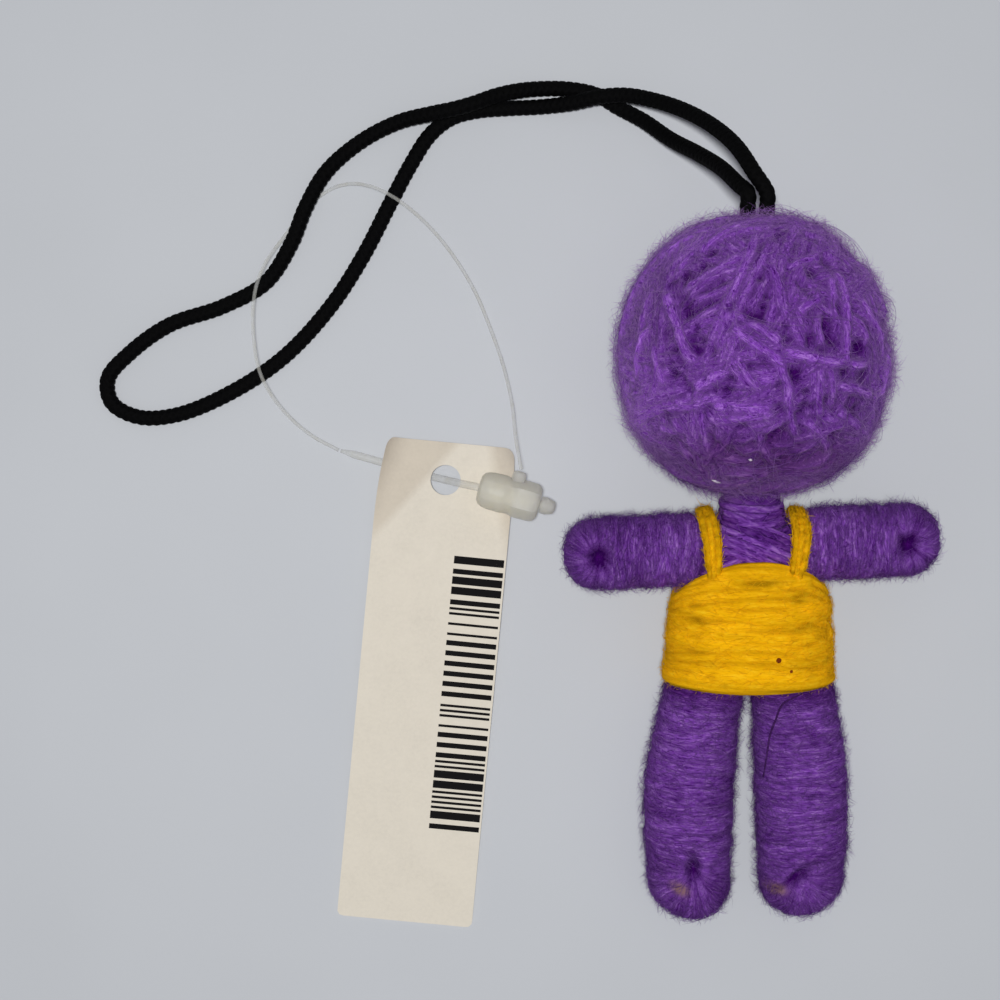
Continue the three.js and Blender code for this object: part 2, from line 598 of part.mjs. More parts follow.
// Joint places in the finished frame
const report = (name, at) => console.log(`${name}: ${at.toArray().map((v) => v.toFixed(3)).join(" ")}`);
report("neck", onDoll(0, neckTop));
[["left", -1], ["right", 1]].forEach(([word, side]) => {
  report(`${word}_shoulder`, onDoll(...shoulderAt(side).toArray()));
  report(`${word}_hip`, onDoll(...hipAt(side).toArray()));
});
[["left", -1], ["right", 1]].forEach(([word, side]) => {
  const foot = doll.getObjectByName(`${word}_leg_core`).localToWorld(V(0, LEG_LENGTH - FOOT_RADIUS));
  report(`${word}_heel`, foot.setZ(0));
});
report("tag", HOLE_AT);
console.log(`lean ${(lean / RAD).toFixed(3)} degrees`);

const whole = new THREE.Group();
whole.name = "voodoo_doll";
whole.add(
  doll,
  piece("hang_cord", tube(cordCurve, CORD, 8, 62), BLACK),
  card,
  lock,
  stem,
  piece("tag_loop", tube(loopCurve, FILAMENT, 6, 30), NYLON),
);

export default whole;
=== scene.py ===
"""A wound-yarn doll charm lying on its back: fuzzy yarn over a ball head and four padded limbs, a yellow
vest, a braided hanging cord and a card tag on a nylon loop fastener. Shapes are worked out in millimetres."""

import json

import bpy
import numpy as np
from mathutils import Matrix


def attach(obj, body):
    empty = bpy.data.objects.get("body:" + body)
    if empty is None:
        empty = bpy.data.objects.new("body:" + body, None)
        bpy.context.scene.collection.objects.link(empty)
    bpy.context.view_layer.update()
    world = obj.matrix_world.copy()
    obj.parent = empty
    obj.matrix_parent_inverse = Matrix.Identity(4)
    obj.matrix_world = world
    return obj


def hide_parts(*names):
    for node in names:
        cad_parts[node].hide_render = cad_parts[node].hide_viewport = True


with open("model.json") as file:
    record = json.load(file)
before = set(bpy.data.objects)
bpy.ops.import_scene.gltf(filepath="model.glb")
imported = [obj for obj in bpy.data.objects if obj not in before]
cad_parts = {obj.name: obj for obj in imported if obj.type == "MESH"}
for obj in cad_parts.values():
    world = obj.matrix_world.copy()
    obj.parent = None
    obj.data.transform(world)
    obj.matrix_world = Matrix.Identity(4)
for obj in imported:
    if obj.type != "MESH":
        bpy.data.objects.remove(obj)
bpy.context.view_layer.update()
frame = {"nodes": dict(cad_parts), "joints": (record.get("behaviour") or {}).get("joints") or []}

bl_info = {
    "name": "Yarn Doll Charm",
    "version": (1, 0, 0),
    "blender": (4, 5, 0),
    "location": "View3D > Sidebar > Yarn Doll",
    "description": "Winds the doll's yarn, lays its cord and tag, and sets the stage",
    "category": "Object",
}

MM = 0.001
ABOVE = np.array([0, 0, 1.0])
# Tone of a skin whose finish doesn't read it
PLAIN = np.full(1, 0.5)

# The doll's own frame: x across, y from the vest's hem towards the crown, z out of its front
JOINTS = {joint["name"]: joint for joint in frame["joints"]}
ACROSS = np.array([1.0, 0.0, 0.0])
UPWARD = np.array(JOINTS["neck_turn"]["axis"], float)
FRONT = np.cross(ACROSS, UPWARD)
NECK_TOP = 23.6
HEM = np.array(JOINTS["neck_turn"]["pos_m"], float) / MM - NECK_TOP * UPWARD

# Head: height of its middle, half sizes, mean radius, radius seen from above, and widening towards the chin
HEAD_AT = 42.45
HEAD_HALF = np.array([18.0, 18.55, 18.0])
HEAD_ROUND, HEAD_SEEN = 18.0, 18.2
HEAD_JOWL = 0.21
CROWN = HEAD_AT + HEAD_HALF[1]

# Vest: heights of its top edge at side and front, half width at the hem with and without the strands' relief, what
# that loses for each millimetre upwards, and depth by width
VEST_SIDE, VEST_FRONT = 11.2, 16.2
VEST_HALF, VEST_CORE = 11.35, 11.2
VEST_TAPER, FLATNESS = 0.09, 0.72

# Straps: height of the shoulder that they go over, place aside and lean
SHOULDER = 17.7
STRAP_ASIDE = 5.2
STRAP_LEAN = np.radians(6.3)

# Route of the hanging cord between the two runs inside the head, and those runs' place aside and heights
CORD_ROUTE = [
    [-0.4, 50.3, 20.4], [-2.3, 53.9, 17.6], [-4.9, 57.1, 13.6], [-8.3, 59.8, 9.4], [-11.9, 61.6, 6.2],
    [-15.6, 62.6, 4.3], [-19.1, 62.5, 3.6], [-22.6, 61.9, 2.4], [-26.6, 61.6, 1.2], [-31.0, 61.4, 1.05],
    [-35.2, 61.05, 1.05], [-38.6, 60.1, 1.05], [-41.4, 57.9, 1.05], [-44.0, 53.9, 1.05], [-46.7, 48.8, 1.05],
    [-50.3, 41.8, 1.05], [-54.7, 35.0, 1.05], [-60.8, 28.4, 1.05], [-67.6, 23.8, 1.05], [-75.0, 20.7, 1.05],
    [-80.2, 20.4, 1.05], [-83.7, 22.3, 1.05], [-84.2, 25.5, 1.05], [-81.3, 28.9, 1.05], [-76.1, 32.6, 1.05],
    [-68.9, 35.1, 1.05], [-63.2, 38.3, 1.1], [-59.8, 43.4, 1.7], [-57.9, 48.1, 2.0], [-55.2, 52.9, 1.5],
    [-50.6, 57.0, 1.05], [-45.6, 59.5, 1.6], [-41.2, 60.4, 3.0], [-38.3, 60.9, 3.6], [-35.5, 61.7, 3.5],
    [-32.8, 62.75, 2.9], [-30.2, 63.45, 2.35], [-27.4, 63.9, 1.55], [-23.0, 63.95, 1.1], [-19.3, 63.2, 1.05],
    [-16.4, 61.5, 1.2], [-13.2, 59.55, 2.6], [-9.8, 56.6, 5.8], [-6.6, 54.0, 10.8], [-4.0, 51.4, 15.8],
    [-2.25, 48.95, 19.2],
]
CORD_ASIDE = 1.2
CORD_INNER = [35.25, HEAD_AT, CROWN, CROWN + 1.5]

# Tag fastener: the lock lies on the card, the stem goes down through the hole, the filament round the cord
HOLE_AT = np.array([-39.3, 12.0, 0.0])
TAG_TURN = np.radians(-5.4)
TAG_LIFT, TAG_THICK = 2.0, 0.35
LOCK_AT = np.array([-30.9, 9.9, 5.05])
LOCK_TURN = np.radians(-15.4)
LOCK_HALF = 4.15
STEM_END = [-53.3, 15.9, 0.75]
LOOP_ROUTE = [
    [-30.0, 17.4, 3.9], [-30.5, 22.0, 2.6], [-31.7, 27.3, 1.6], [-33.4, 32.2, 1.0], [-35.4, 37.0, 0.8],
    [-38.1, 41.5, 1.0], [-41.4, 45.5, 1.9], [-45.4, 48.9, 2.75], [-48.9, 50.8, 2.1], [-52.0, 51.4, 0.9],
    [-54.7, 50.7, 0.4], [-57.9, 48.2, 0.3], [-60.9, 44.3, 0.6], [-63.1, 40.9, 2.0], [-64.3, 37.7, 2.8],
    [-64.8, 34.6, 2.3], [-64.7, 30.6, 2.1], [-63.9, 26.4, 2.75], [-62.4, 23.3, 2.2], [-60.0, 20.3, 1.3],
    [-57.1, 17.9, 0.9],
]


# Shapes

def unit(v):
    """Vectors scaled to length one."""
    return v / np.linalg.norm(v, axis=-1, keepdims=True)


def square_to(v, axis):
    """Vectors without their share along an axis of length one, scaled to length one."""
    return unit(v - (v * axis).sum(-1, keepdims=True) * axis)


def ease(low, high, x):
    """0 below low, 1 above high, and a smooth S between."""
    t = np.clip((x - low) / (high - low), 0, 1)
    return t * t * (3 - 2 * t)


def once_round(count):
    """Angles at equal steps once round."""
    return 2 * np.pi * np.arange(count) / count


def angle_from(at, a):
    """Angle from one place round to others, between half a turn back and half a turn on."""
    return (a - at + np.pi) % (2 * np.pi) - np.pi


def columns(*parts):
    """Points, directions or faces put together from their columns, each spread over the others' shape."""
    return np.stack(np.broadcast_arrays(*parts), -1)


def on_doll(p):
    """Points of the doll's own frame in the frame of the scene."""
    p = np.asarray(p, float)
    return HEM + p[..., :1] * ACROSS + p[..., 1:2] * UPWARD + p[..., 2:3] * FRONT


def turned(v):
    """Directions of the doll's own frame in the frame of the scene."""
    return on_doll(v) - HEM


def lengths(paths):
    """Length from the start of each path to each of its points."""
    steps = np.linalg.norm(np.diff(paths, axis=-2), axis=-1)
    return np.concatenate([0 * steps[..., :1], np.cumsum(steps, -1)], -1)


def even_steps(path, count, endpoint=True):
    """A path cut into places at equal steps of length."""
    s = lengths(path)
    at = np.linspace(0, s[-1], count, endpoint=endpoint)
    return np.stack([np.interp(at, s, column) for column in path.T], 1)


def line_through(points, count):
    """A centripetal Catmull-Rom curve through the points, cut into places at equal steps of length.

    On each span the tangents come from the neighbours, weighed by the square roots of the chords, and a cubic
    joins the two ends."""
    p = np.asarray(points, float)
    p = np.concatenate([[2 * p[0] - p[1]], p, [2 * p[-1] - p[-2]]])
    d = np.sqrt(np.linalg.norm(np.diff(p, axis=0), axis=1))[:, None]
    chord = np.diff(p, axis=0) / d
    wide = (p[2:] - p[:-2]) / (d[1:] + d[:-1])
    leave = ((chord[:-2] - wide[:-1] + chord[1:-1]) * d[1:-1])[:, None]
    arrive = ((chord[1:-1] - wide[1:] + chord[2:]) * d[1:-1])[:, None]
    a, b = p[1:-2, None], p[2:-1, None]
    t = np.linspace(0, 1, 33)[None, :, None]
    cubic = a + leave * t + (3 * (b - a) - 2 * leave - arrive) * t**2 + (2 * (a - b) + leave + arrive) * t**3
    return even_steps(np.concatenate([cubic[:, :-1].reshape(-1, 3), p[-2:-1]]), count)


def skins(rings, along, tint, ends=None):
    """Closed skins over stacks of rings: rings[strand, step, corner], faces between one ring and the next, and
    a fan at both ends to the given points, or else to the middle of the ring. `along` is the length in millimetres
    at each step. The map is that length and the share of the way round."""
    count, n, m = rings.shape[:3]
    ends = rings[:, [0, -1]].mean(2) if ends is None else ends
    v = np.concatenate([rings.reshape(count, n * m, 3), ends], 1)
    j = np.arange(m)
    k = (j + 1) % m
    row = np.arange(n - 1)[:, None] * m
    last = (n - 1) * m
    quads = columns(row + j, row + m + j, row + m + k, row + k).reshape(-1, 4)
    tris = np.concatenate([columns(n * m, j, k), columns(n * m + 1, last + k, last + j)])
    base = np.arange(count)[:, None, None] * (n * m + 2)
    quads, tris = (quads[None] + base).reshape(-1, 4), (tris[None] + base).reshape(-1, 3)
    u = np.broadcast_to(along, (count, n))
    step = columns(u[:, :-1], u[:, 1:], u[:, 1:], u[:, :-1])[:, :, None]
    uv4 = columns(step, columns(j, j, j + 1, j + 1) / m).reshape(-1, 4, 2)
    fan = columns(np.repeat(u[:, [0, -1]], m, 1), np.tile((j + 0.5) / m, 2))
    uv3 = np.repeat(fan[:, :, None], 3, 2).reshape(-1, 3, 2)
    shade = np.broadcast_to(np.reshape(tint, np.shape(tint) + (1,) * (3 - np.ndim(tint))), (count, n, m))
    shade = np.concatenate([shade.reshape(count, n * m), shade[:, [0, -1]].mean(2)], 1)
    v = v.reshape(-1, 3)
    a, b, c, d = (v[quads[:, i]] - v.mean(0) for i in range(4))
    if (np.cross(a, b) * c + np.cross(a, c) * d).sum() < 0:
        quads, tris, uv4, uv3 = quads[:, ::-1], tris[:, ::-1], uv4[:, ::-1], uv3[:, ::-1]
    return {"v": v, "quads": quads, "tris": tris, "tint": shade.ravel(),
            "uv": np.concatenate([uv4.reshape(-1, 2), uv3.reshape(-1, 2)])}


def tubes(paths, up, wide, high, sides, tint, ends=None):
    """Closed tubes along many paths at once. A ring is centre + wide cos(a) side + high sin(a) lift, where lift
    is `up` made square to the path and side is square to both."""
    paths = np.asarray(paths, float)
    t = unit(np.gradient(paths, axis=1))
    lift = square_to(np.broadcast_to(up, paths.shape), t)
    side = np.cross(t, lift)
    a = once_round(sides)[:, None]
    wide = np.broadcast_to(wide, paths.shape[:2])[..., None, None]
    high = np.broadcast_to(high, paths.shape[:2])[..., None, None]
    rings = paths[:, :, None] + wide * np.cos(a) * side[:, :, None] + high * np.sin(a) * lift[:, :, None]
    return skins(rings, lengths(paths), tint, ends)


def relief(points, along, across, tint):
    """A closed skin over rows of rings. Its map is the length along the strand on top and the place across it."""
    skin = skins(points[None], np.zeros((1, len(points))), tint[None])
    uv = columns(along, across).reshape(-1, 2)
    uv = np.concatenate([uv, uv[[0, -1]]])
    skin["uv"] = uv[np.concatenate([skin["quads"].ravel(), skin["tris"].ravel()])]
    return skin


def felted(height, times):
    """Heights on rows of rings evened out: half of each and an eighth of each of its four neighbours."""
    for _ in range(times):
        rows = np.concatenate([height[:1], height, height[-1:]])
        height = height / 2 + (rows[:-2] + rows[2:] + np.roll(height, 1, 1) + np.roll(height, -1, 1)) / 8
    return height


def crown_of(across):
    """Round back of a strand by the place x across it, -0.5 to 0.5: the root of 1 less the square of 1.9 x."""
    return np.sqrt(np.maximum(1 - (1.9 * across) ** 2, 0))


def close_turns(phase, a, table, radius, rise, tone):
    """Close turns as (height, across, along, tone): strands between neighbouring whole numbers of the phase, each
    wavering round the piece by its column of the table. `rise` gives the height of the round back and of the waver;
    `tone` gives the base, the waver, and the share and zero point of a painted shading that makes each round back
    lighter and the turn's edges darker."""
    turn = np.round(phase)
    across, k = phase - turn, turn.astype(int) % table.shape[1]
    back = crown_of(across)
    height = rise[0] * back + rise[1] * table[0][k] * np.sin(a + 3 * table[1][k])
    shade = tone[0] + tone[1] * table[2][k] * np.sin(2 * a + 3 * table[3][k]) + tone[2] * (back - tone[3])
    return height, across, radius * a, shade


def lay_turn(turns, x, ends, rise, along, tone):
    """A stray turn laid over close turns. x is the place across it, `ends` fades it out, and `rise` gives the
    height of its edges and that of its round back over them."""
    height, across, length, shade = turns
    h = ends * (rise[0] + rise[1] * crown_of(x))
    over = (np.abs(x) < 0.5) & (h > height)
    return (np.where(over, h, height), np.where(over, x, across), np.where(over, along, length),
            np.where(over, shade * (1 - ends) + ends * tone, shade))


def hairs(rng, roots, normals, grain, length, lean, thick, bend, tint):
    """Fine hairs, pointed at both ends. A hair is root + L s (cos(lean) T + sin(lean) (1 - 0.3 s) N)
    - N (L s cos(lean))^2 / 2 bend + curl s^2 B, with s from 0 to 1, N the surface's normal, T the grain laid on
    the surface and B square to both."""
    t = square_to(grain, normals)
    b = np.cross(normals, t)
    s = np.linspace(0, 1, 4)[None, :, None]
    reach = (length * np.cos(lean))[:, None, None] * s
    rise = (length * np.sin(lean))[:, None, None] * s * (1 - 0.3 * s)
    curl = (length * rng.normal(0, 0.42, len(roots)))[:, None, None] * s**2
    path = (roots[:, None] + reach * t[:, None] + (rise - reach**2 / (2 * bend)) * normals[:, None]
            + curl * b[:, None])
    taper = thick[:, None] * np.array([1.0, 0.75])
    return tubes(path[:, 1:-1], b[:, None] + 0.3 * normals[:, None], taper, taper, 3, tint, path[:, [0, -1]])


def fuzz_of(rng, count, laid, weight, surface, size, long, bend):
    """Hairs over a felted surface, rooted where weight says. Laid hairs follow the strand under them, the others
    stand off in any direction. `long` gives the shortest and the longest in millimetres."""
    pick = rng.choice(weight.size, count, p=weight.ravel() / weight.sum())
    roots, normals, grain = (surface[k].reshape(-1, 3)[pick] for k in ("at", "normal", "grain"))
    tone = np.clip(surface["tone"].ravel()[pick] + (0.12 if laid else 0.2) * rng.normal(size=count), 0, 1)
    roots = roots + 0.12 * rng.normal(size=roots.shape)
    stray = np.where(rng.random(count) < 0.75, 0.25, 1.2) if laid else np.full(count, 1.1)
    lean = rng.uniform(0.0, 0.18, count) if laid else rng.uniform(0.25, 1.2, count)
    thick = size * rng.uniform(0.5, 1.0, count) * (0.55 if laid else 0.32)
    way = unit(grain) + stray[:, None] * rng.normal(size=(count, 3))
    return hairs(rng, roots, normals, way, rng.uniform(*long, count), lean, thick, bend, tone)


def mixed_hairs(rng, roots, normals, grain, stray, size, standing, lying, tone):
    """Hairs on the trunk, of which a quarter stand off and the others lie along the grain. `standing` and `lying`
    give the ranges of length and lean, and the share of the hair's usual thickness."""
    n = len(roots)
    stands = rng.random(n) < 0.25
    way = grain + stray * rng.normal(size=grain.shape)
    length, lean = (np.where(stands, rng.uniform(*standing[k], n), rng.uniform(*lying[k], n)) for k in range(2))
    thick = size * np.where(stands, standing[2], lying[2])
    tint = rng.uniform(*tone, n)
    return hairs(rng, on_doll(roots), turned(normals), turned(way), length, lean, thick, 6.0, tint)


def piece(name, parts, material, body, nodes=(), press=True):
    """Puts skins into one mesh object that rides on a body. What reaches the surface below is pressed flat."""
    start = np.cumsum([0] + [len(p["v"]) for p in parts])
    v = np.concatenate([p["v"] for p in parts])
    if press:
        v[:, 2] = np.maximum(v[:, 2], 0.02)
    faces = [p[kind] + s for p, s in zip(parts, start) for kind in ("quads", "tris")]
    corners = np.concatenate([f.ravel() for f in faces])
    sizes = np.concatenate([np.full(len(f), f.shape[1]) for f in faces])
    mesh = bpy.data.meshes.new(name)
    mesh.vertices.add(len(v))
    mesh.vertices.foreach_set("co", (v * MM).astype(np.float32).ravel())
    mesh.loops.add(len(corners))
    mesh.polygons.add(len(sizes))
    mesh.polygons.foreach_set("loop_start", np.concatenate([[0], np.cumsum(sizes)[:-1]]).astype(np.int32))
    mesh.polygons.foreach_set("vertices", corners.astype(np.int32))
    mesh.polygons.foreach_set("use_smooth", np.ones(len(sizes), bool))
    uv = mesh.uv_layers.new(name="strand")
    uv.data.foreach_set("uv", np.concatenate([p["uv"] for p in parts]).astype(np.float32).ravel())
    for key in ("tint", "glue_tint"):
        if key in parts[0]:
            values = np.concatenate([p[key] for p in parts])
            mesh.attributes.new(key, "FLOAT", "POINT").data.foreach_set("value", values.astype(np.float32))
    mesh.update(calc_edges=True)
    mesh.validate()
    mesh.materials.append(material)
    obj = bpy.data.objects.new(name, mesh)
    bpy.context.scene.collection.objects.link(obj)
    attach(obj, body)
    if nodes:
        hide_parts(*nodes)
    return obj


def hair_pieces(rng, name, body, slot, surface, size, bend, *kinds):
    """Pieces of hairs over one surface. A kind is its name, count, whether laid, weight, lengths and finish."""
    for kind, count, laid, weight, long, finish in kinds:
        fuzz = fuzz_of(rng, count, laid, weight, surface, size, long, bend)
        piece(f"{name}_{kind}", [fuzz], finish, body)


# Finishes

def srgb(red, green, blue):
    """A colour given as it looks on a screen, 0 to 255, in linear light."""
    c = np.array([red, green, blue]) / 255
    return tuple(float(x) for x in np.where(c <= 0.04045, c / 12.92, ((c + 0.055) / 1.055) ** 2.4))


def dim(colour, share):
    """A share of a colour, or more than all of it."""
    return tuple(share * c for c in colour)


class Finish:
    """A material made node by node, with its surface shader ready."""

    def __init__(self, name, **sockets):
        self.material = bpy.data.materials.new(name)
        self.material.use_nodes = True
        self.tree = self.material.node_tree
        self.shader = self.tree.nodes["Principled BSDF"]
        for socket, value in sockets.items():
            self.shader.inputs[socket.replace("_", " ")].default_value = value

    def add(self, kind, inputs=None, **settings):
        """A node with its settings; inputs are values or the outputs that feed them."""
        node = self.tree.nodes.new("ShaderNode" + kind)
        for key, value in settings.items():
            setattr(node, key, value)
        for key, value in (inputs or {}).items():
            if isinstance(value, bpy.types.NodeSocket):
                self.tree.links.new(value, node.inputs[key])
            else:
                node.inputs[key].default_value = value
        return node

    def own(self, attribute):
        """A number that each point of the mesh carries."""
        return self.add("Attribute", attribute_name=attribute).outputs["Fac"]

    def strand(self):
        """The piece's own map: length along the strand and place across it."""
        return self.add("UVMap", uv_map="strand").outputs["UV"]

    def place(self):
        """The point in the object's own frame."""
        return self.add("TexCoord").outputs["Object"]

    def stretch(self, vector, *scale):
        """A vector multiplied axis by axis."""
        return self.add("Mapping", {"Vector": vector, "Scale": scale}).outputs[0]

    def math(self, rule, *values):
        """One step of arithmetic on values or outputs."""
        return self.add("Math", dict(enumerate(values)), operation=rule).outputs[0]

    def ramp(self, value, *stops):
        """Colours or greys by value; stops are (position, colour)."""
        node = self.add("ValToRGB", {"Fac": value})
        while len(node.color_ramp.elements) < len(stops):
            node.color_ramp.elements.new(1.0)
        for element, (position, colour) in zip(node.color_ramp.elements, stops):
            element.position = position
            element.color = (*colour, 1) if hasattr(colour, "__len__") else (colour,) * 3 + (1,)
        return node.outputs["Color"]

    def mix(self, factor, a, b, blend="MIX"):
        """Two colours mixed by a factor."""
        return self.add("Mix", {0: factor, 6: a, 7: b}, data_type="RGBA", blend_type=blend).outputs[2]

    def noise(self, vector, scale, detail=3.0, rough=0.6, warp=0.0):
        """Cloudy noise, 0 to 1."""
        return self.add("TexNoise", {"Vector": vector, "Scale": scale, "Detail": detail, "Roughness": rough,
                                     "Distortion": warp}).outputs["Fac"]

    def feed(self, socket, output):
        """Leads an output to the surface shader."""
        self.tree.links.new(output, self.shader.inputs[socket])

    def mottle(self, noise, low, high):
        """Base colour between two colours by a noise."""
        self.feed("Base Color", self.ramp(noise, (0.3, low), (0.7, high)))

    def bump(self, height, strength, distance):
        """Fine relief in the shading."""
        node = self.add("Bump", {"Height": height, "Strength": strength, "Distance": distance})
        self.feed("Normal", node.outputs["Normal"])


def strand_finish(name, deep, middle, bright, haze, dark, rough, sheen, glue=None):
    """Felted yarn: streaks drawn out along the strand's own map, darker or brighter by the tone of each point, which
    carries painted shade and highlight as well as the yarn's own variation, and glue where the mesh says."""
    f = Finish(name, Roughness=0.95, Specular_IOR_Level=0.03, Sheen_Weight=sheen, Sheen_Roughness=0.3,
               Sheen_Tint=(*haze, 1))
    uv, tone = f.strand(), f.own("tint")
    offset = f.add("CombineXYZ", {"Z": f.math("MULTIPLY", tone, 9.0)}).outputs[0]
    coarse, fine = (f.add("VectorMath", {0: f.stretch(uv, *scale), 1: offset}, operation="ADD").outputs[0]
                    for scale in ((0.4, 3.0, 1.0), (0.8, 8.0, 1.0)))
    both = f.mix(0.5, f.noise(coarse, 1.0, 3.0, 0.6, 0.4), f.noise(fine, 1.0, 2.0, 0.7, 0.3))
    colour = f.ramp(both, (0.34, deep), (0.5, middle), (0.67, bright))
    colour = f.mix(1.0, colour, f.ramp(tone, (0.0, dark), (0.5, 0.9), (1.0, 1.4)), "MULTIPLY")
    if glue is not None:
        grain = f.ramp(both, (0.36, 0.35), (0.58, 1.0))
        colour = f.mix(f.math("MULTIPLY", f.own("glue_tint"), grain), colour, (*glue, 1))
    f.feed("Base Color", colour)
    f.bump(both, rough, 0.0003)
    return f.material


def hair_finish(name, deep, bright, haze, sheen=0.05):
    """Loose fibre ends: each hair its own tone, paler to its tip."""
    f = Finish(name, Roughness=1.0, Specular_IOR_Level=0.03, Sheen_Weight=sheen, Sheen_Roughness=0.4,
               Sheen_Tint=(*haze, 1))
    along = f.add("SeparateXYZ", {0: f.strand()}).outputs["X"]
    colour = f.ramp(f.own("tint"), (0.0, deep), (1.0, bright))
    f.feed("Base Color", f.mix(1.0, colour, f.ramp(along, (0.0, 0.9), (1.0, 1.08)), "MULTIPLY"))
    return f.material


# Sizes and colours

def length_field(name, text, size):
    """A length, given in millimetres."""
    return bpy.props.FloatProperty(name=name, description=text, default=size * MM, unit="LENGTH")


def colour_field(name, text, *screen):
    """A colour, given as it looks on a screen."""
    return bpy.props.FloatVectorProperty(name=name, description=text, default=srgb(*screen), subtype="COLOR")


class DollSizes(bpy.types.PropertyGroup):
    """Sizes of the yarn, the cord and the tag"""
    yarn: length_field("Yarn", "Width of one strand on head and limbs", 1.16)
    vest_yarn: length_field("Vest yarn", "Width of one strand of the vest", 1.4)
    fuzz: length_field("Fuzz", "Greatest length of a loose hair on the head", 3.0)
    hair: length_field("Hair", "Thickness of a loose hair", 0.075)
    cord: length_field("Cord", "Thickness of the braided cord", 2.1)
    filament: length_field("Filament", "Thickness of the fastener's loop", 0.5)
    card_width: length_field("Card width", "Width of the tag", 18)
    card_length: length_field("Card length", "Length of the tag", 64)
    hole: length_field("Hole", "Width of the punched hole", 4)


class DollColours(bpy.types.PropertyGroup):
    """Colours of the doll, its tag and the surface under it"""
    purple_deep: colour_field("Deep purple", "Purple yarn in its folds", 60, 6, 96)
    purple: colour_field("Purple", "Purple yarn", 126, 68, 172)
    purple_bright: colour_field("Bright purple", "Purple yarn on top", 172, 124, 206)
    purple_haze: colour_field("Purple haze", "Purple fibre ends against the light", 186, 150, 206)
    yellow_deep: colour_field("Deep yellow", "Yellow yarn in its folds", 214, 156, 6)
    yellow: colour_field("Yellow", "Yellow yarn", 236, 175, 10)
    yellow_bright: colour_field("Bright yellow", "Yellow yarn on top", 246, 194, 30)
    glue: colour_field("Glue", "Dried glue on the feet", 148, 114, 96)
    cord: colour_field("Cord", "Braided cord", 6, 6, 7)
    card: colour_field("Card", "Tag card", 230, 222, 207)
    nylon: colour_field("Nylon", "Loop fastener", 242, 238, 222)
    floor: colour_field("Floor", "Surface under the doll", 202, 205, 210)


def settings(context):
    """The doll's sizes and colours."""
    return context.scene.doll_sizes, context.scene.doll_colours


def purple_yarn(colours, name="purple_yarn_strand", sheen=0.03):
    """The purple strand finish, made once under each name."""
    return bpy.data.materials.get(name) or strand_finish(
        name, colours.purple_deep, colours.purple, colours.purple_bright, colours.purple_haze, (0.24, 0.04, 0.3),
        0.6, sheen, colours.glue)


def purple_hair(colours):
    """Purple hairs, as deep as the yarn."""
    name = "purple_yarn_hair"
    return bpy.data.materials.get(name) or hair_finish(
        name, colours.purple_deep, 0.6 * colours.purple + 0.4 * colours.purple_bright, colours.purple_haze)


def yellow_yarn(colours):
    """The yellow strand finish."""
    name = "yellow_yarn_strand"
    return bpy.data.materials.get(name) or strand_finish(
        name, colours.yellow_deep, colours.yellow, colours.yellow_bright, colours.yellow_bright, 0.22, 0.18, 0.03)


def yellow_hair(colours):
    """Yellow hairs."""
    name = "yellow_yarn_hair"
    return bpy.data.materials.get(name) or hair_finish(
        name, colours.yellow, colours.yellow_bright, colours.yellow_bright)


def unstained(parts):
    """Skins with no glue on them."""
    return [{**p, "glue_tint": np.zeros(len(p["v"]))} for p in parts]


# Cord and tag

class DOLL_OT_cord(bpy.types.Operator):
    """Lay the braided cord out of the crown, along the surface and back"""
    bl_idname = "yarn_doll.cord"
    bl_label = "Hanging cord"

    def execute(self, context):
        sizes, colours = settings(context)
        inner = np.array([[CORD_ASIDE, y, 0.0] for y in CORD_INNER])
        path = line_through([*on_doll(inner), *CORD_ROUTE, *on_doll(inner * [-1, 1, 1])[::-1]], 2000)
        along = np.linspace(0, lengths(path)[-1], len(path))
        # Plaited sheath: radius swells where either of two opposite spirals of eight carriers passes
        pitch = 0.95
        a = once_round(20)
        turn = 2 * np.pi * along[:, None] / pitch
        rib = np.maximum(np.cos(4 * a + turn), np.cos(4 * a - turn))
        r = sizes.cord / MM / 2 * (0.91 + 0.08 * rib)
        t = unit(np.gradient(path, axis=0))
        lift = square_to(ABOVE, t)
        around = np.cos(a)[:, None] * np.cross(t, lift)[:, None] + np.sin(a)[:, None] * lift[:, None]
        skin = skins((path[:, None] + r[..., None] * around)[None], along[None], (rib * 0.5 + 0.5)[None])

        f = Finish("black_braid", Roughness=0.75, Specular_IOR_Level=0.06)
        thread = f.noise(f.stretch(f.strand(), 2.4, 18.0, 1.0), 1.0)
        # Painted shading: the colour is lighter on the braid's raised ribs and darker in the grooves between
        rise = f.ramp(f.own("tint"), (0.0, dim(colours.cord, 0.5)), (1.0, dim(colours.cord, 1.5)))
        f.feed("Base Color", f.mix(thread, (*dim(colours.cord, 0.35), 1), rise))
        f.bump(thread, 0.5, 0.0002)
        cord = piece("hanging_cord", [skin], f.material, "torso", ["hang_cord"])
        return {"FINISHED"}


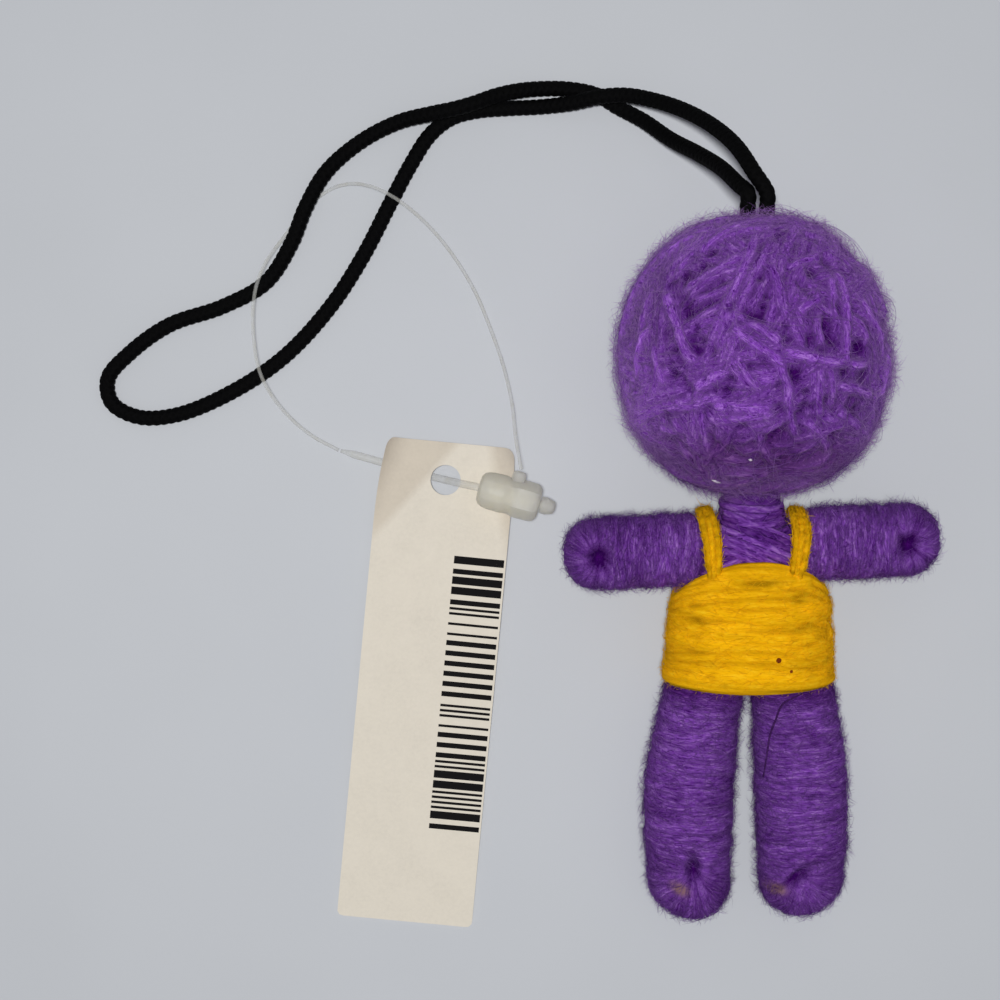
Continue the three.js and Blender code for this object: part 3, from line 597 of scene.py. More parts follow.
class DOLL_OT_fastener(bpy.types.Operator):
    """Make the nylon lock, its stem and the clear filament round the cord"""
    bl_idname = "yarn_doll.fastener"
    bl_label = "Loop fastener"

    def execute(self, context):
        sizes, colours = settings(context)
        ahead = np.array([np.cos(LOCK_TURN), np.sin(LOCK_TURN), 0])
        aside = np.array([-ahead[1], ahead[0], 0])
        a = once_round(60)

        def on_lock(along, across=0.0):
            return LOCK_AT + along * ahead + across * aside

        def nylon(name, parts, finish, *nodes):
            return piece(name, parts, finish.material, "torso", nodes, press=False)

        def about(start, reach, radius):
            """Skin of rings about the lock's axis: places along it, and radius by place and angle."""
            ring = np.cos(a)[:, None] * aside + np.sin(a)[:, None] * ABOVE
            rings = start + reach[:, None, None] * ahead + radius[..., None] * ring
            return skins(rings[None], (reach - reach[0])[None], PLAIN)

        milky = Finish("milky_nylon", Roughness=0.4, Alpha=0.5, IOR=1.3, Subsurface_Weight=1.0,
                       Subsurface_Radius=(1.0, 1.0, 0.9), Subsurface_Scale=0.004)
        milky.mottle(milky.noise(milky.place(), 420.0, 2.0), dim(colours.nylon, 0.88), colours.nylon)
        milky.bump(milky.noise(milky.place(), 1500.0, 2.0), 0.12, 0.0002)
        clear = Finish("clear_nylon", Roughness=0.3, Alpha=0.2, IOR=1.2, Subsurface_Weight=0.5,
                       Subsurface_Radius=(1.0, 1.0, 1.0), Subsurface_Scale=0.001)
        clear.mottle(clear.noise(clear.place(), 700.0, 2.0), dim(colours.nylon, 0.9), (0.93, 0.95, 0.95))

        # Barrel with six flats, softer on its inner half: radius by place along the axis and by angle
        reach = np.array([0, 0.06, 0.4, 1.0, 1.6, 3.2, 3.5, 3.8, 4.3, 4.6, 4.9, 5.4, 7.4, 7.8, 8.1, 8.25, 8.3])
        width = np.array([0.9, 1.6, 2.1, 2.35, 2.45, 2.5, 2.48, 2.4, 2.38, 2.42, 2.55, 2.6, 2.55, 2.42, 2.1, 1.75,
                          1.0])
        reach = reach - LOCK_HALF
        flats = 0.45 + 0.55 * ease(0.0, 0.9, reach)
        hexagon = np.cos(np.pi / 6) / np.cos(a % (np.pi / 3) - np.pi / 6)
        barrel = about(on_lock(0), reach, width[:, None] * (1 + flats[:, None] * (hexagon - 1)))
        # Side boss: a rounded block standing off the barrel; section cos and sin raised to a half power
        b = once_round(32)
        square = columns(np.cos(b), np.sin(b))
        square = np.sign(square) * np.sqrt(np.abs(square))
        out = np.array([1.5, 2.0, 3.0, 3.3, 3.45, 3.5])
        size = np.array([0.95, 0.95, 0.9, 0.82, 0.62, 0.3])
        section = square[:, :1] * ahead + square[:, 1:] * ABOVE
        rings = on_lock(0.6) + out[:, None, None] * aside + size[:, None, None] * section
        boss = skins(rings[None], out[None], PLAIN)
        lock = nylon("nylon_lock", [barrel, boss], milky, "tag_lock")
        lock.data.set_sharp_from_angle(angle=np.radians(32))

        # Stem: a round bar through the lock and down through the hole, thinner at its end, and the stud it starts in
        route = [on_lock(LOCK_HALF + 0.7), on_lock(0), on_lock(-LOCK_HALF - 0.3), [-37.2, 11.5, LOCK_AT[2] - 1.1],
                 [-39.3, 12.0, TAG_LIFT + TAG_THICK / 2 - 0.1], [-41.3, 12.5, 1.0], [-44.5, 13.4, 0.75],
                 [-49.0, 14.7, 0.75], STEM_END]
        path = line_through(route, 90)
        thick = 0.52 * (1 - 0.5 * ease(0.93, 1.0, np.linspace(0, 1, 90)))
        stem = tubes(path[None], ABOVE, thick[None], thick[None], 16, PLAIN)
        out = np.array([0, 0.1, 0.9, 1.1, 1.5, 1.9, 2.05])
        size = np.array([0.6, 1.1, 1.14, 1.05, 0.95, 0.75, 0.35])
        stud = about(on_lock(LOCK_HALF + 0.05), out, size[:, None])
        shank = nylon("nylon_stem", [stem], clear, "tag_stem")
        plug = nylon("nylon_plug", [stud], milky)

        start = on_lock(0.6, 3.8)
        path = line_through([start, *LOOP_ROUTE, np.array(STEM_END) + [-0.29, 0.09, 0]], 320)
        r = sizes.filament / MM / 2
        loop = nylon("clear_filament", [tubes(path[None], ABOVE, r, r, 10, PLAIN)], clear, "tag_loop")
        return {"FINISHED"}


class DOLL_OT_card(bpy.types.Operator):
    """Cut the tag card, punch its hole, and warp it as its fastener pulls on it"""
    bl_idname = "yarn_doll.card"
    bl_label = "Tag card"

    INSET = 5.0   # from the hole's middle to the card's upper edge
    BAR = 0.34    # width of the thinnest printed bar

    def stock(self, colours):
        """Pale card with painted shade past two slanting creases, where the curled corners tip away from the light,
        and plain printed bars of uneven width: in each four steps along the card the first is dark, the last is
        bare, and chance settles the two between."""
        f = Finish("tag_card_stock", Roughness=0.85, Specular_IOR_Level=0.15)
        place, sheet = f.place(), f.strand()
        pulp = f.noise(place, 260.0, 4.0, 0.65)
        paper = f.ramp(pulp, (0.3, dim(colours.card, 0.9)), (0.7, colours.card))
        paper = f.mix(f.noise(place, 2200.0, 2.0), paper, (*dim(colours.card, 1.06), 1))
        spot = f.add("SeparateXYZ", {0: sheet}).outputs
        upper = f.add("MapRange", {"Value": spot["Y"], "From Min": -11.0, "From Max": -6.0}).outputs["Result"]
        # Painted shade past each crease line, towards the card's upper end
        for normal, near, far, shade_level in (((-0.803, 0.596, 0), 1.5, 2.6, 0.86), ((0.97, 0.24, 0), 5.8, 7.4, 0.84)):
            past = f.add("VectorMath", {0: sheet, 1: normal}, operation="DOT_PRODUCT").outputs["Value"]
            share = f.add("MapRange", {"Value": past, "From Min": near, "From Max": far}).outputs["Result"]
            shaded = f.mix(1.0, paper, (shade_level, shade_level * 0.97, shade_level * 0.94, 1), "MULTIPLY")
            paper = f.mix(f.math("MULTIPLY", share, upper), paper, shaded)
        step = f.math("FLOOR", f.math("DIVIDE", spot["Y"], self.BAR))
        chance = f.add("TexWhiteNoise", {"W": step}, noise_dimensions="1D").outputs["Value"]
        beat = f.math("FLOORED_MODULO", step, 4.0)
        sure = f.math("MULTIPLY", f.math("SUBTRACT", 1.5, beat), 0.34)
        dark = f.math("GREATER_THAN", f.math("ADD", chance, sure), 0.5)
        for axis, low, high in (("X", 2.1, 8.75), ("Y", -46.6, -9.8)):
            for rule, limit in (("GREATER_THAN", low), ("LESS_THAN", high)):
                dark = f.math("MULTIPLY", dark, f.math(rule, spot[axis], limit))
        dark = f.math("MULTIPLY", dark, f.math("SUBTRACT", 1.0, f.own("tint")))
        f.feed("Base Color", f.mix(dark, paper, (0.006, 0.0055, 0.006, 1)))
        f.bump(pulp, 0.12, 0.0003)
        return f.material

    def execute(self, context):
        sizes, colours = settings(context)
        half, long, inset = sizes.card_width / MM / 2, sizes.card_length / MM, self.INSET
        # Outline: four arcs at the corners, cut at equal steps; rays from the hole to it carry the sheet
        arcs = [(half, inset, 1.4, 0), (-half, inset, 1.4, 1), (-half, inset - long, 0.7, 2),
                (half, inset - long, 0.7, 3)]
        quarter = np.linspace(0, np.pi / 2, 9)
        ring = np.concatenate([columns(
            x - np.sign(x) * r + r * np.cos(quarter + q * np.pi / 2),
            y - (r if q < 2 else -r) + r * np.sin(quarter + q * np.pi / 2)) for x, y, r, q in arcs])
        m = 300
        edge = even_steps(np.concatenate([ring, ring[:1]]), m, endpoint=False)
        rim = unit(edge) * sizes.hole / MM / 2
        flat = rim + (edge - rim) * np.linspace(0, 1, 30)[:, None, None] ** 1.15
        x, y = flat[..., 0], flat[..., 1]
        # Height: a bow along the card, a dent by the lock and a wave
        z = TAG_LIFT * (1 - ((inset - y) / long) ** 2)
        z = z - 0.7 * np.exp(-(((x - 6.0) / 3.0) ** 2 + ((y + 3.4) / 2.4) ** 2))
        z = z + 0.18 * np.sin(0.35 * x + 0.11 * y) * ease(inset - long, -30, y)
        # The left edge rolls up towards the top, and the right corner turns down: past a slanting line the sheet
        # follows a cylinder along the card
        for line, out, roll in ((-9.0 + 0.33 * (y + 10.0), -1, 4.2), (9.0 - 0.5 * (y + 2.0), 1, -4.5)):
            past = np.maximum((x - line) * out, 0)
            angle = past / abs(roll)
            x, z = x - out * (past - abs(roll) * np.sin(angle)), z + roll * (1 - np.cos(angle))
        z = np.maximum(z, 0.03)
        shell = np.concatenate([columns(x, y, z + TAG_THICK), columns(x, y, z)[::-1]])
        n = len(shell)
        c, s = np.cos(TAG_TURN), np.sin(TAG_TURN)
        v = HOLE_AT + shell @ np.array([[c, s, 0], [-s, c, 0], [0, 0, 1]])
        i, j = np.meshgrid(np.arange(n), np.arange(m), indexing="ij")
        i1, j1 = (i + 1) % n, (j + 1) % m
        quads = columns(i * m + j, i1 * m + j, i1 * m + j1, i * m + j1).reshape(-1, 4)
        uv = np.concatenate([flat, flat[::-1]]).reshape(-1, 2)
        back = np.repeat([0.0, 1.0], n * m // 2)
        skin = {"v": v.reshape(-1, 3), "quads": quads, "tris": np.zeros((0, 3), int), "uv": uv[quads.ravel()],
                "tint": back}
        card = piece("tag_card_sheet", [skin], self.stock(colours), "tag", ["tag_card"], press=False)
        card.data.set_sharp_from_angle(angle=np.radians(40))
        return {"FINISHED"}


# Doll

def head_facing(plan):
    """Directions from the head's middle to points of the ball seen from above."""
    plan = plan / (1 + HEAD_JOWL * np.minimum(plan[..., 1:] / HEAD_HALF[1], 0) ** 2 * [1, 0])
    high = np.sqrt(np.maximum(HEAD_SEEN**2 - (plan**2).sum(-1), 1))
    seen = unit(np.concatenate([plan, high[..., None]], -1))
    return columns(seen @ ACROSS, seen @ UPWARD, seen @ FRONT)


def on_head(way, depth):
    """Points at a depth under the skin of an ellipsoid, which is wider towards the chin."""
    jowl = 1 + HEAD_JOWL * np.minimum(way[..., 1:2], 0) ** 2 * [1, 0, 0]
    return on_doll([0, HEAD_AT, 0] + way * jowl * (HEAD_HALF - depth[..., None]))


class DOLL_OT_head(bpy.types.Operator):
    """Wind the head: felted under-layers, bundles of strands in every direction, and loose hairs"""
    bl_idname = "yarn_doll.head"
    bl_label = "Head"

    # Strands that show at the front: start and end seen from above, in millimetres from the head's middle
    FRONT_STRANDS = np.array([
        [-5.4, 2.4, 1.7, -2.2], [-4.3, 3.7, 1.7, -0.2], [0.4, 10.3, 2.0, 3.7], [1.2, 8.2, 2.2, 3.2],
        [2.5, 9.5, 7.5, 11.6], [9.1, 9.3, 10.4, 4.3], [10.4, 4.8, 10.0, -2.0], [6.7, 3.5, 7.2, 0.3],
        [8.3, 8.7, 9.1, 3.7], [2.8, -1.3, 13.3, -1.9], [12.5, 6.4, 15.9, 1.1], [-12.6, 6.9, -11.4, 2.4],
        [-11.4, 2.4, -9.1, -1.9], [-6.7, -0.2, -5.1, 5.8], [-6.2, -0.5, -4.3, 5.0], [1.7, -2.6, 2.5, -7.8],
        [2.5, -7.3, 4.1, -11.0], [-5.1, -1.8, -2.2, -5.5], [-4.3, -1.5, -1.2, -5.2], [-10.4, -7.0, -4.9, -3.6],
        [-8.3, -8.4, -3.8, -12.0], [-3.8, -12.0, 2.2, -9.4], [-7.5, -7.8, 0.4, -7.6], [-7.0, -8.9, 0.9, -8.6],
        [5.4, -3.1, 5.7, -8.4], [6.7, -2.8, 7.1, -8.4], [8.0, -2.8, 8.3, -7.3], [-10.6, 5.8, -3.8, 9.5],
        [-10.1, 7.4, -3.3, 11.4], [-7.8, 12.1, -2.8, 15.8], [-12.0, 12.7, -5.9, 15.6], [-16.3, -4.7, -15.4, 2.2],
        [-14.5, -6.0, -14.5, 0.1], [-12.7, -4.7, -13.8, -1.5], [16.0, -5.7, 17.0, -0.5], [10.9, 3.5, 13.3, 0.6],
        [9.1, -4.7, 14.3, -6.0], [3.8, 4.3, 6.7, 6.4], [-9.0, -12.5, -2.0, -14.5], [0.0, -13.5, 7.0, -12.0],
        [4.0, -11.5, 10.5, -9.5], [-12.0, -9.0, -8.5, -13.0], [2.0, -15.2, 8.0, -14.0], [-5.0, -15.5, 1.0, -15.8],
        [10.0, -8.0, 13.0, -10.0], [-3.0, -13.2, 3.5, -12.4], [-8.0, -14.5, -4.0, -10.5], [5.5, -9.5, 8.5, -13.2],
        [-1.5, -10.5, 1.5, -14.8], [-13.5, -10.0, -10.5, -11.0], [6.0, -15.5, 9.5, -12.0],
    ])
    # Hollows among the strands: place seen from above, and width
    HOLLOWS = np.array([
        [-7.4, -0.6, 0.7], [-10.4, 5.2, 1.2], [-2.5, 3.7, 0.8], [6.2, 14.0, 0.7], [8.0, 10.8, 0.8],
        [5.7, 9.3, 0.8], [8.4, 0.6, 0.8], [3.5, -3.9, 0.8], [10.2, -3.2, 0.9], [-16.4, -4.4, 0.8],
        [1.5, -8.1, 0.7], [-12.0, -12.2, 1.0], [-5.4, -5.7, 1.1], [-10.1, -5.4, 0.8], [11.6, 5.0, 0.7],
        [9.3, -11.2, 0.8], [3.0, -14.1, 0.9], [13.4, -3.6, 0.9],
    ])

    def strands(self, rng, half):
        """Bundles wound in every direction, the later over the earlier, then the strands that show at the front. A
        strand is a band along the circle at angle `place` above the plane square to its pole, `span` long."""
        bundles, each = 110, 4
        count, shown = bundles * each, len(self.FRONT_STRANDS)
        pole = unit(np.repeat(unit(rng.normal(size=(bundles, 3))), each, 0) + rng.normal(0, 0.03, (count, 3)))
        middle = np.repeat(rng.normal(size=(bundles, 3)), each, 0)
        place = np.repeat(rng.uniform(-0.35, 0.35, bundles), each)
        place = place + np.tile(np.arange(each) - 1.5, bundles) * 0.056 + rng.normal(0, 0.016, count)
        span = np.repeat(rng.uniform(0.8, 2.4, bundles), each) * rng.uniform(0.8, 1.1, count)
        level = np.repeat(np.linspace(0, 0.85, bundles), each) + rng.uniform(-0.08, 0.08, count)
        tone = 0.34 + 0.3 * level + rng.normal(0, 0.13, count)
        first, last = head_facing(self.FRONT_STRANDS[:, :2]), head_facing(self.FRONT_STRANDS[:, 2:])
        pole = np.concatenate([pole, unit(np.cross(first, last))])
        middle = np.concatenate([middle, first + last])
        place = np.concatenate([place, np.zeros(shown)])
        span = np.concatenate([span, 1.45 * np.arccos((first * last).sum(1))])
        level = np.concatenate([level, rng.uniform(0.85, 1.0, shown)])
        # Painted shade: front strands low on the head, towards the chin, get a darker tone
        lower = ease(-8, -13, self.FRONT_STRANDS[:, 1::2].mean(1))
        tone = np.concatenate([tone, rng.uniform(0.6, 0.88, shown) - 0.2 * lower])
        width = half * rng.uniform(0.95, 1.45, len(level))
        east = square_to(middle, pole)
        sway, bow = rng.uniform(0, 6.3, len(level)), rng.normal(0, 0.035, len(level))
        return pole, east, np.cross(pole, east), place, span, level, tone, width, sway, bow

    def wisps(self, rng, size):
        """Long wisps that run round the head a little off it: arcs about any axis, lifted in their middle."""
        n = 220
        pole, start = unit(rng.normal(size=(n, 3))), rng.normal(size=(n, 3))
        east = square_to(start, pole)
        t = np.linspace(-0.5, 0.5, 11)[None, :, None]
        a = t * rng.uniform(0.25, 0.7, (n, 1, 1))
        arc = east[:, None] * np.cos(a) + np.cross(pole, east)[:, None] * np.sin(a)
        path = arc + rng.normal(0, 0.05, (n, 1, 1)) * (4 * t**2 * pole[:, None])
        lift = rng.uniform(0.1, 1.0, (n, 1)) * (1 - 4 * t[..., 0] ** 2)
        thin = size * rng.uniform(0.2, 0.36, (n, 1)) + 0 * lift
        return tubes(on_head(path, 0.5 - lift), turned(path), thin, thin, 3, rng.uniform(0.0, 0.5, (n, 1)))

    def execute(self, context):
        sizes, colours = settings(context)
        rng = np.random.default_rng(11)
        wound = self.strands(rng, sizes.yarn / MM / 2)
        polar = np.linspace(0.01, np.pi - 0.01, 210)[:, None]
        turn = (once_round(420) - np.pi / 2)[None]
        way = columns(np.sin(polar) * np.cos(turn), np.cos(polar), np.sin(polar) * np.sin(turn))
        grid, w = way.shape[:2], way.reshape(-1, 3)
        # Height and tone on a grid of directions: the highest strand at each; the tone carries painted shade beside
        # each strand and where no strand lies, and a painted highlight on each strand's round back
        height, shade = np.zeros(len(w)), np.full(len(w), 0.16)
        along, across = HEAD_ROUND * np.arctan2(w[:, 0], w[:, 2]), 8 * w[:, 1]
        owner = np.zeros(len(w), int)
        for k, (pole, east, north, place, span, level, tone, width, sway, bow) in enumerate(zip(*wound)):
            lift = np.arcsin(np.clip(w @ pole, -1, 1)) - place
            near = np.flatnonzero(np.abs(lift) < 0.14)
            a = np.arctan2(w[near] @ north, w[near] @ east)
            t = a / span + 0.5
            curve = 0.014 * np.sin(5.3 * a + sway) + bow * (4 * (t - 0.5) ** 2 - 0.5)
            x = (lift[near] - curve) * HEAD_ROUND / (2 * width)
            ends = ease(0, 0.22, t) * ease(0, 0.22, 1 - t)
            h = ends * (level + 0.42 * crown_of(x))
            # Painted shade: a dark line along each side of a strand
            beside = (np.abs(x) > 0.5) & (np.abs(x) < 0.68) & (h + 0.1 > height[near] - 0.42)
            shade[near[beside]] *= 1 - 0.45 * ends[beside]
            over = (np.abs(x) < 0.5) & (h > height[near])
            hit = near[over]
            height[hit], across[hit], owner[hit] = h[over], x[over] + 0.5, k
            along[hit] = HEAD_ROUND * a[over] + 7 * k
            # Painted shading: the strand is lighter on its round back, and its tone falls off towards its ends
            shade[hit] = tone * (0.5 + 0.5 * ends[over]) * (0.56 + 0.48 * crown_of(x[over]))
        # Hollows: bells round the given places and 70 more, sunk in and darkened with painted shade
        more = columns(*rng.uniform(-13, 13, (2, 70)), rng.uniform(0.3, 0.65, 70))
        pits = np.concatenate([self.HOLLOWS, more])
        far = HEAD_ROUND * np.arccos(np.clip(w @ head_facing(pits[:, :2]).T, -1, 1))
        pit = np.exp(-(far / pits[:, 2]) ** 2).max(1)
        height = felted((height * (1 - 0.9 * pit)).reshape(grid), 4) + rng.normal(0, 0.03, grid)
        # The tone is darkened in the hollows: painted shade
        shade = felted((shade - 0.6 * pit).reshape(grid), 4) + rng.normal(0, 0.05, grid)
        # Painted light: the tone is paler round the sides, where the ball turns away from straight above; under the
        # chin it is darker with painted shade and mixed a little towards the glue colour
        seen = turned(way)
        chin = ease(-8, -15, HEAD_ROUND * seen[..., 1])
        seen_rim = ease(0.82, 0.1, np.abs(seen[..., 2]))
        patch = np.sin(9 * way[..., 0] + 4 * way[..., 1]) * np.sin(8 * way[..., 1] - 5 * way[..., 0] + 1)
        shade = np.clip(shade + 0.09 * patch + 0.6 * seen_rim * (1 - 0.5 * chin) - 0.75 * shade * chin, 0, 1)
        at = on_head(way, 1.9 - height)
        skin = relief(at, along.reshape(grid), across.reshape(grid), shade)
        skin["glue_tint"] = np.concatenate([0.14 * chin.ravel(), [0.0, 0.0]])
        head = piece("head_yarn", [skin], purple_yarn(colours, "purple_head_strand", 0.4), "head",
                     ["head_underwrap", "head_winding"])

        # Fibre ends get a paler colour than the yarn they stand off: painted light, for the glow of light caught in
        # the fuzz
        pale = hair_finish("purple_head_ends", 0.5 * (colours.purple_deep + colours.purple),
                           0.5 * (colours.purple_bright + colours.purple_haze), colours.purple_haze, 0.4)
        surface = {"at": at, "normal": seen, "grain": turned(np.cross(wound[0][owner], w)), "tone": shade}
        area = np.sin(polar) + 0 * turn
        hair_pieces(rng, "head", "head", "purple_yarn", surface, sizes.hair / MM, HEAD_ROUND,
                    ("felt", 15500, True, area, (0.5, 1.8), purple_hair(colours)),
                    ("fuzz", 15500, False, area * (0.3 + 0.7 * seen_rim), (0.5, sizes.fuzz / MM), pale))
        piece("head_wisps", [self.wisps(rng, sizes.hair / MM)], pale, "head")

        # Two bits of white lint caught under the chin: start and end seen from above
        f = Finish("white_lint", Roughness=0.8, Sheen_Weight=0.3)
        f.mottle(f.noise(f.place(), 900.0), (0.42, 0.32, 0.46), (0.68, 0.6, 0.7))
        spots = np.array([[-6.3, -15.9, -5.1, -16.3], [-2.1, -13.5, -1.6, -13.6]])
        t = np.linspace(0, 1, 7)[None, :, None]
        way = head_facing(spots[:, None, :2] + (spots[:, None, 2:] - spots[:, None, :2]) * t)
        body = np.sin(np.pi * np.linspace(0.06, 0.94, 7))[None] * 0.2
        lint = tubes(on_head(way, np.full(way.shape[:2], 0.25)), turned(way), body, body * 0.7, 6, 0.8 + 0 * body)
        piece("head_lint", [lint], f.material, "head")
        return {"FINISHED"}


class DOLL_OT_trunk(bpy.types.Operator):
    """Wind the neck and cross the strands over the chest"""
    bl_idname = "yarn_doll.trunk"
    bl_label = "Neck and chest"

    def execute(self, context):
        sizes, colours = settings(context)
        rng = np.random.default_rng(23)
        half = sizes.yarn / MM / 2
        # Wadding: ellipses of half width w and half depth d at height y
        y = np.array([7.6, 8.4, 9.6, 11.0, 14.0, 15.5, 17.7, 19.2, 20.2, 21.0, 22.5, 25.5])
        w = np.array([5.4, 6.8, 7.6, 7.8, 7.3, 7.0, 6.7, 5.9, 5.0, 4.1, 3.7, 3.5])
        d = np.array([3.6, 4.8, 5.2, 5.4, 5.0, 4.8, 4.7, 4.4, 4.0, 3.8, 3.6, 3.5])
        a = once_round(48)
        rings = columns(w[:, None] * np.cos(a), y[:, None], d[:, None] * np.sin(a))
        core = skins(on_doll(rings)[None], (y - y[0])[None], np.full(1, 0.2))

        # Crossing strands: straight in plan from one shoulder to the other side of the chest, front and back
        count = 7
        k = np.arange(count) - (count - 1) / 2
        t = np.linspace(0, 1, 30)[None, :, None]
        rows = []
        for hand, face in ((-1, -1), (-1, 1), (1, -1), (1, 1)):
            start = columns(-4.9, 20.7 + 0.8 * k) + rng.normal(0, 0.15, (count, 2))
            stop = columns(6.3, 16.3 + 0.85 * k) + rng.normal(0, 0.2, (count, 2))
            plan = start[:, None] + (stop - start)[:, None] * t
            h = plan[..., 1] + 0.5 * np.sin(np.pi * t[..., 0])
            ww, dd = np.interp(h, y, w), np.interp(h, y, d)
            x = hand * np.clip(plan[..., 0], 0.1 - ww, ww - 0.1)
            z = face * (dd * np.sqrt(np.maximum(1 - (x / (ww + 0.4)) ** 2, 0.02)) + 0.28 + 0.12 * (hand > 0))
            rows.append(columns(x, h, z))
        path = np.concatenate(rows)
        # Low tone on the crossing strands: partly the yarn's own random variation, partly painted shade from the
        # head above
        tone = rng.uniform(0.12, 0.55, (len(path), 1))
        cross = tubes(on_doll(path), turned(path * [1, 0, 1]), half * 0.85, 0.34, 6, tone)
        piece("chest_yarn", unstained([core, cross]), purple_yarn(colours), "torso", ["torso_core"])

        # Neck turns: a spiral whose radius wavers by a sine, rising 0.95 mm a turn; their low tone is painted shade
        # from the head
        u = np.linspace(0, 3.6, 150)
        r = 3.95 + 0.25 * np.sin(1.7 * u)
        path = columns(r * np.cos(2 * np.pi * u), 20.1 + 0.95 * u, r * np.sin(2 * np.pi * u))[None]
        neck = tubes(on_doll(path), turned(path * [1, 0, 1]), half, 0.42, 7, np.full(1, 0.45))
        piece("neck_yarn", unstained([neck]), purple_yarn(colours), "torso", ["neck_winding"])

        n = 2400
        h, a = rng.uniform(14.5, 23.6, n), rng.uniform(0, 2 * np.pi, n)
        normal = columns(np.cos(a), 0, np.sin(a))
        root = columns(np.interp(h, y, w) * np.cos(a), h, (np.interp(h, y, d) + 0.35) * np.sin(a))
        grain = columns(-np.sin(a), rng.choice([-0.42, 0.42], n) * (h < 19.8), np.cos(a))
        fuzz = mixed_hairs(rng, root, normal, grain, 0.25, sizes.hair / MM, ((0.5, 1.4), (0.3, 0.9), 0.35),
                           ((1.0, 3.4), (0.02, 0.14), 0.6), (0.2, 0.9))
        piece("chest_fuzz", [fuzz], purple_hair(colours), "torso")
        return {"FINISHED"}


def vest_width(y):
    """Half width of the vest by height."""
    return VEST_HALF - VEST_TAPER * y


def vest_ring(y, a, inset):
    """Ellipse of the vest at a height, drawn in by the inset."""
    w = vest_width(y)
    return columns((w - inset) * np.cos(a), y, (w * FLATNESS - inset) * np.sin(a))


def vest_top(a):
    """Upper edge: arched up at front and back between the arms, a little higher on the right."""
    return VEST_SIDE + (VEST_FRONT + 0.3 - VEST_SIDE) * np.abs(np.sin(a)) ** 1.25 + 0.7 * np.maximum(np.cos(a), 0)


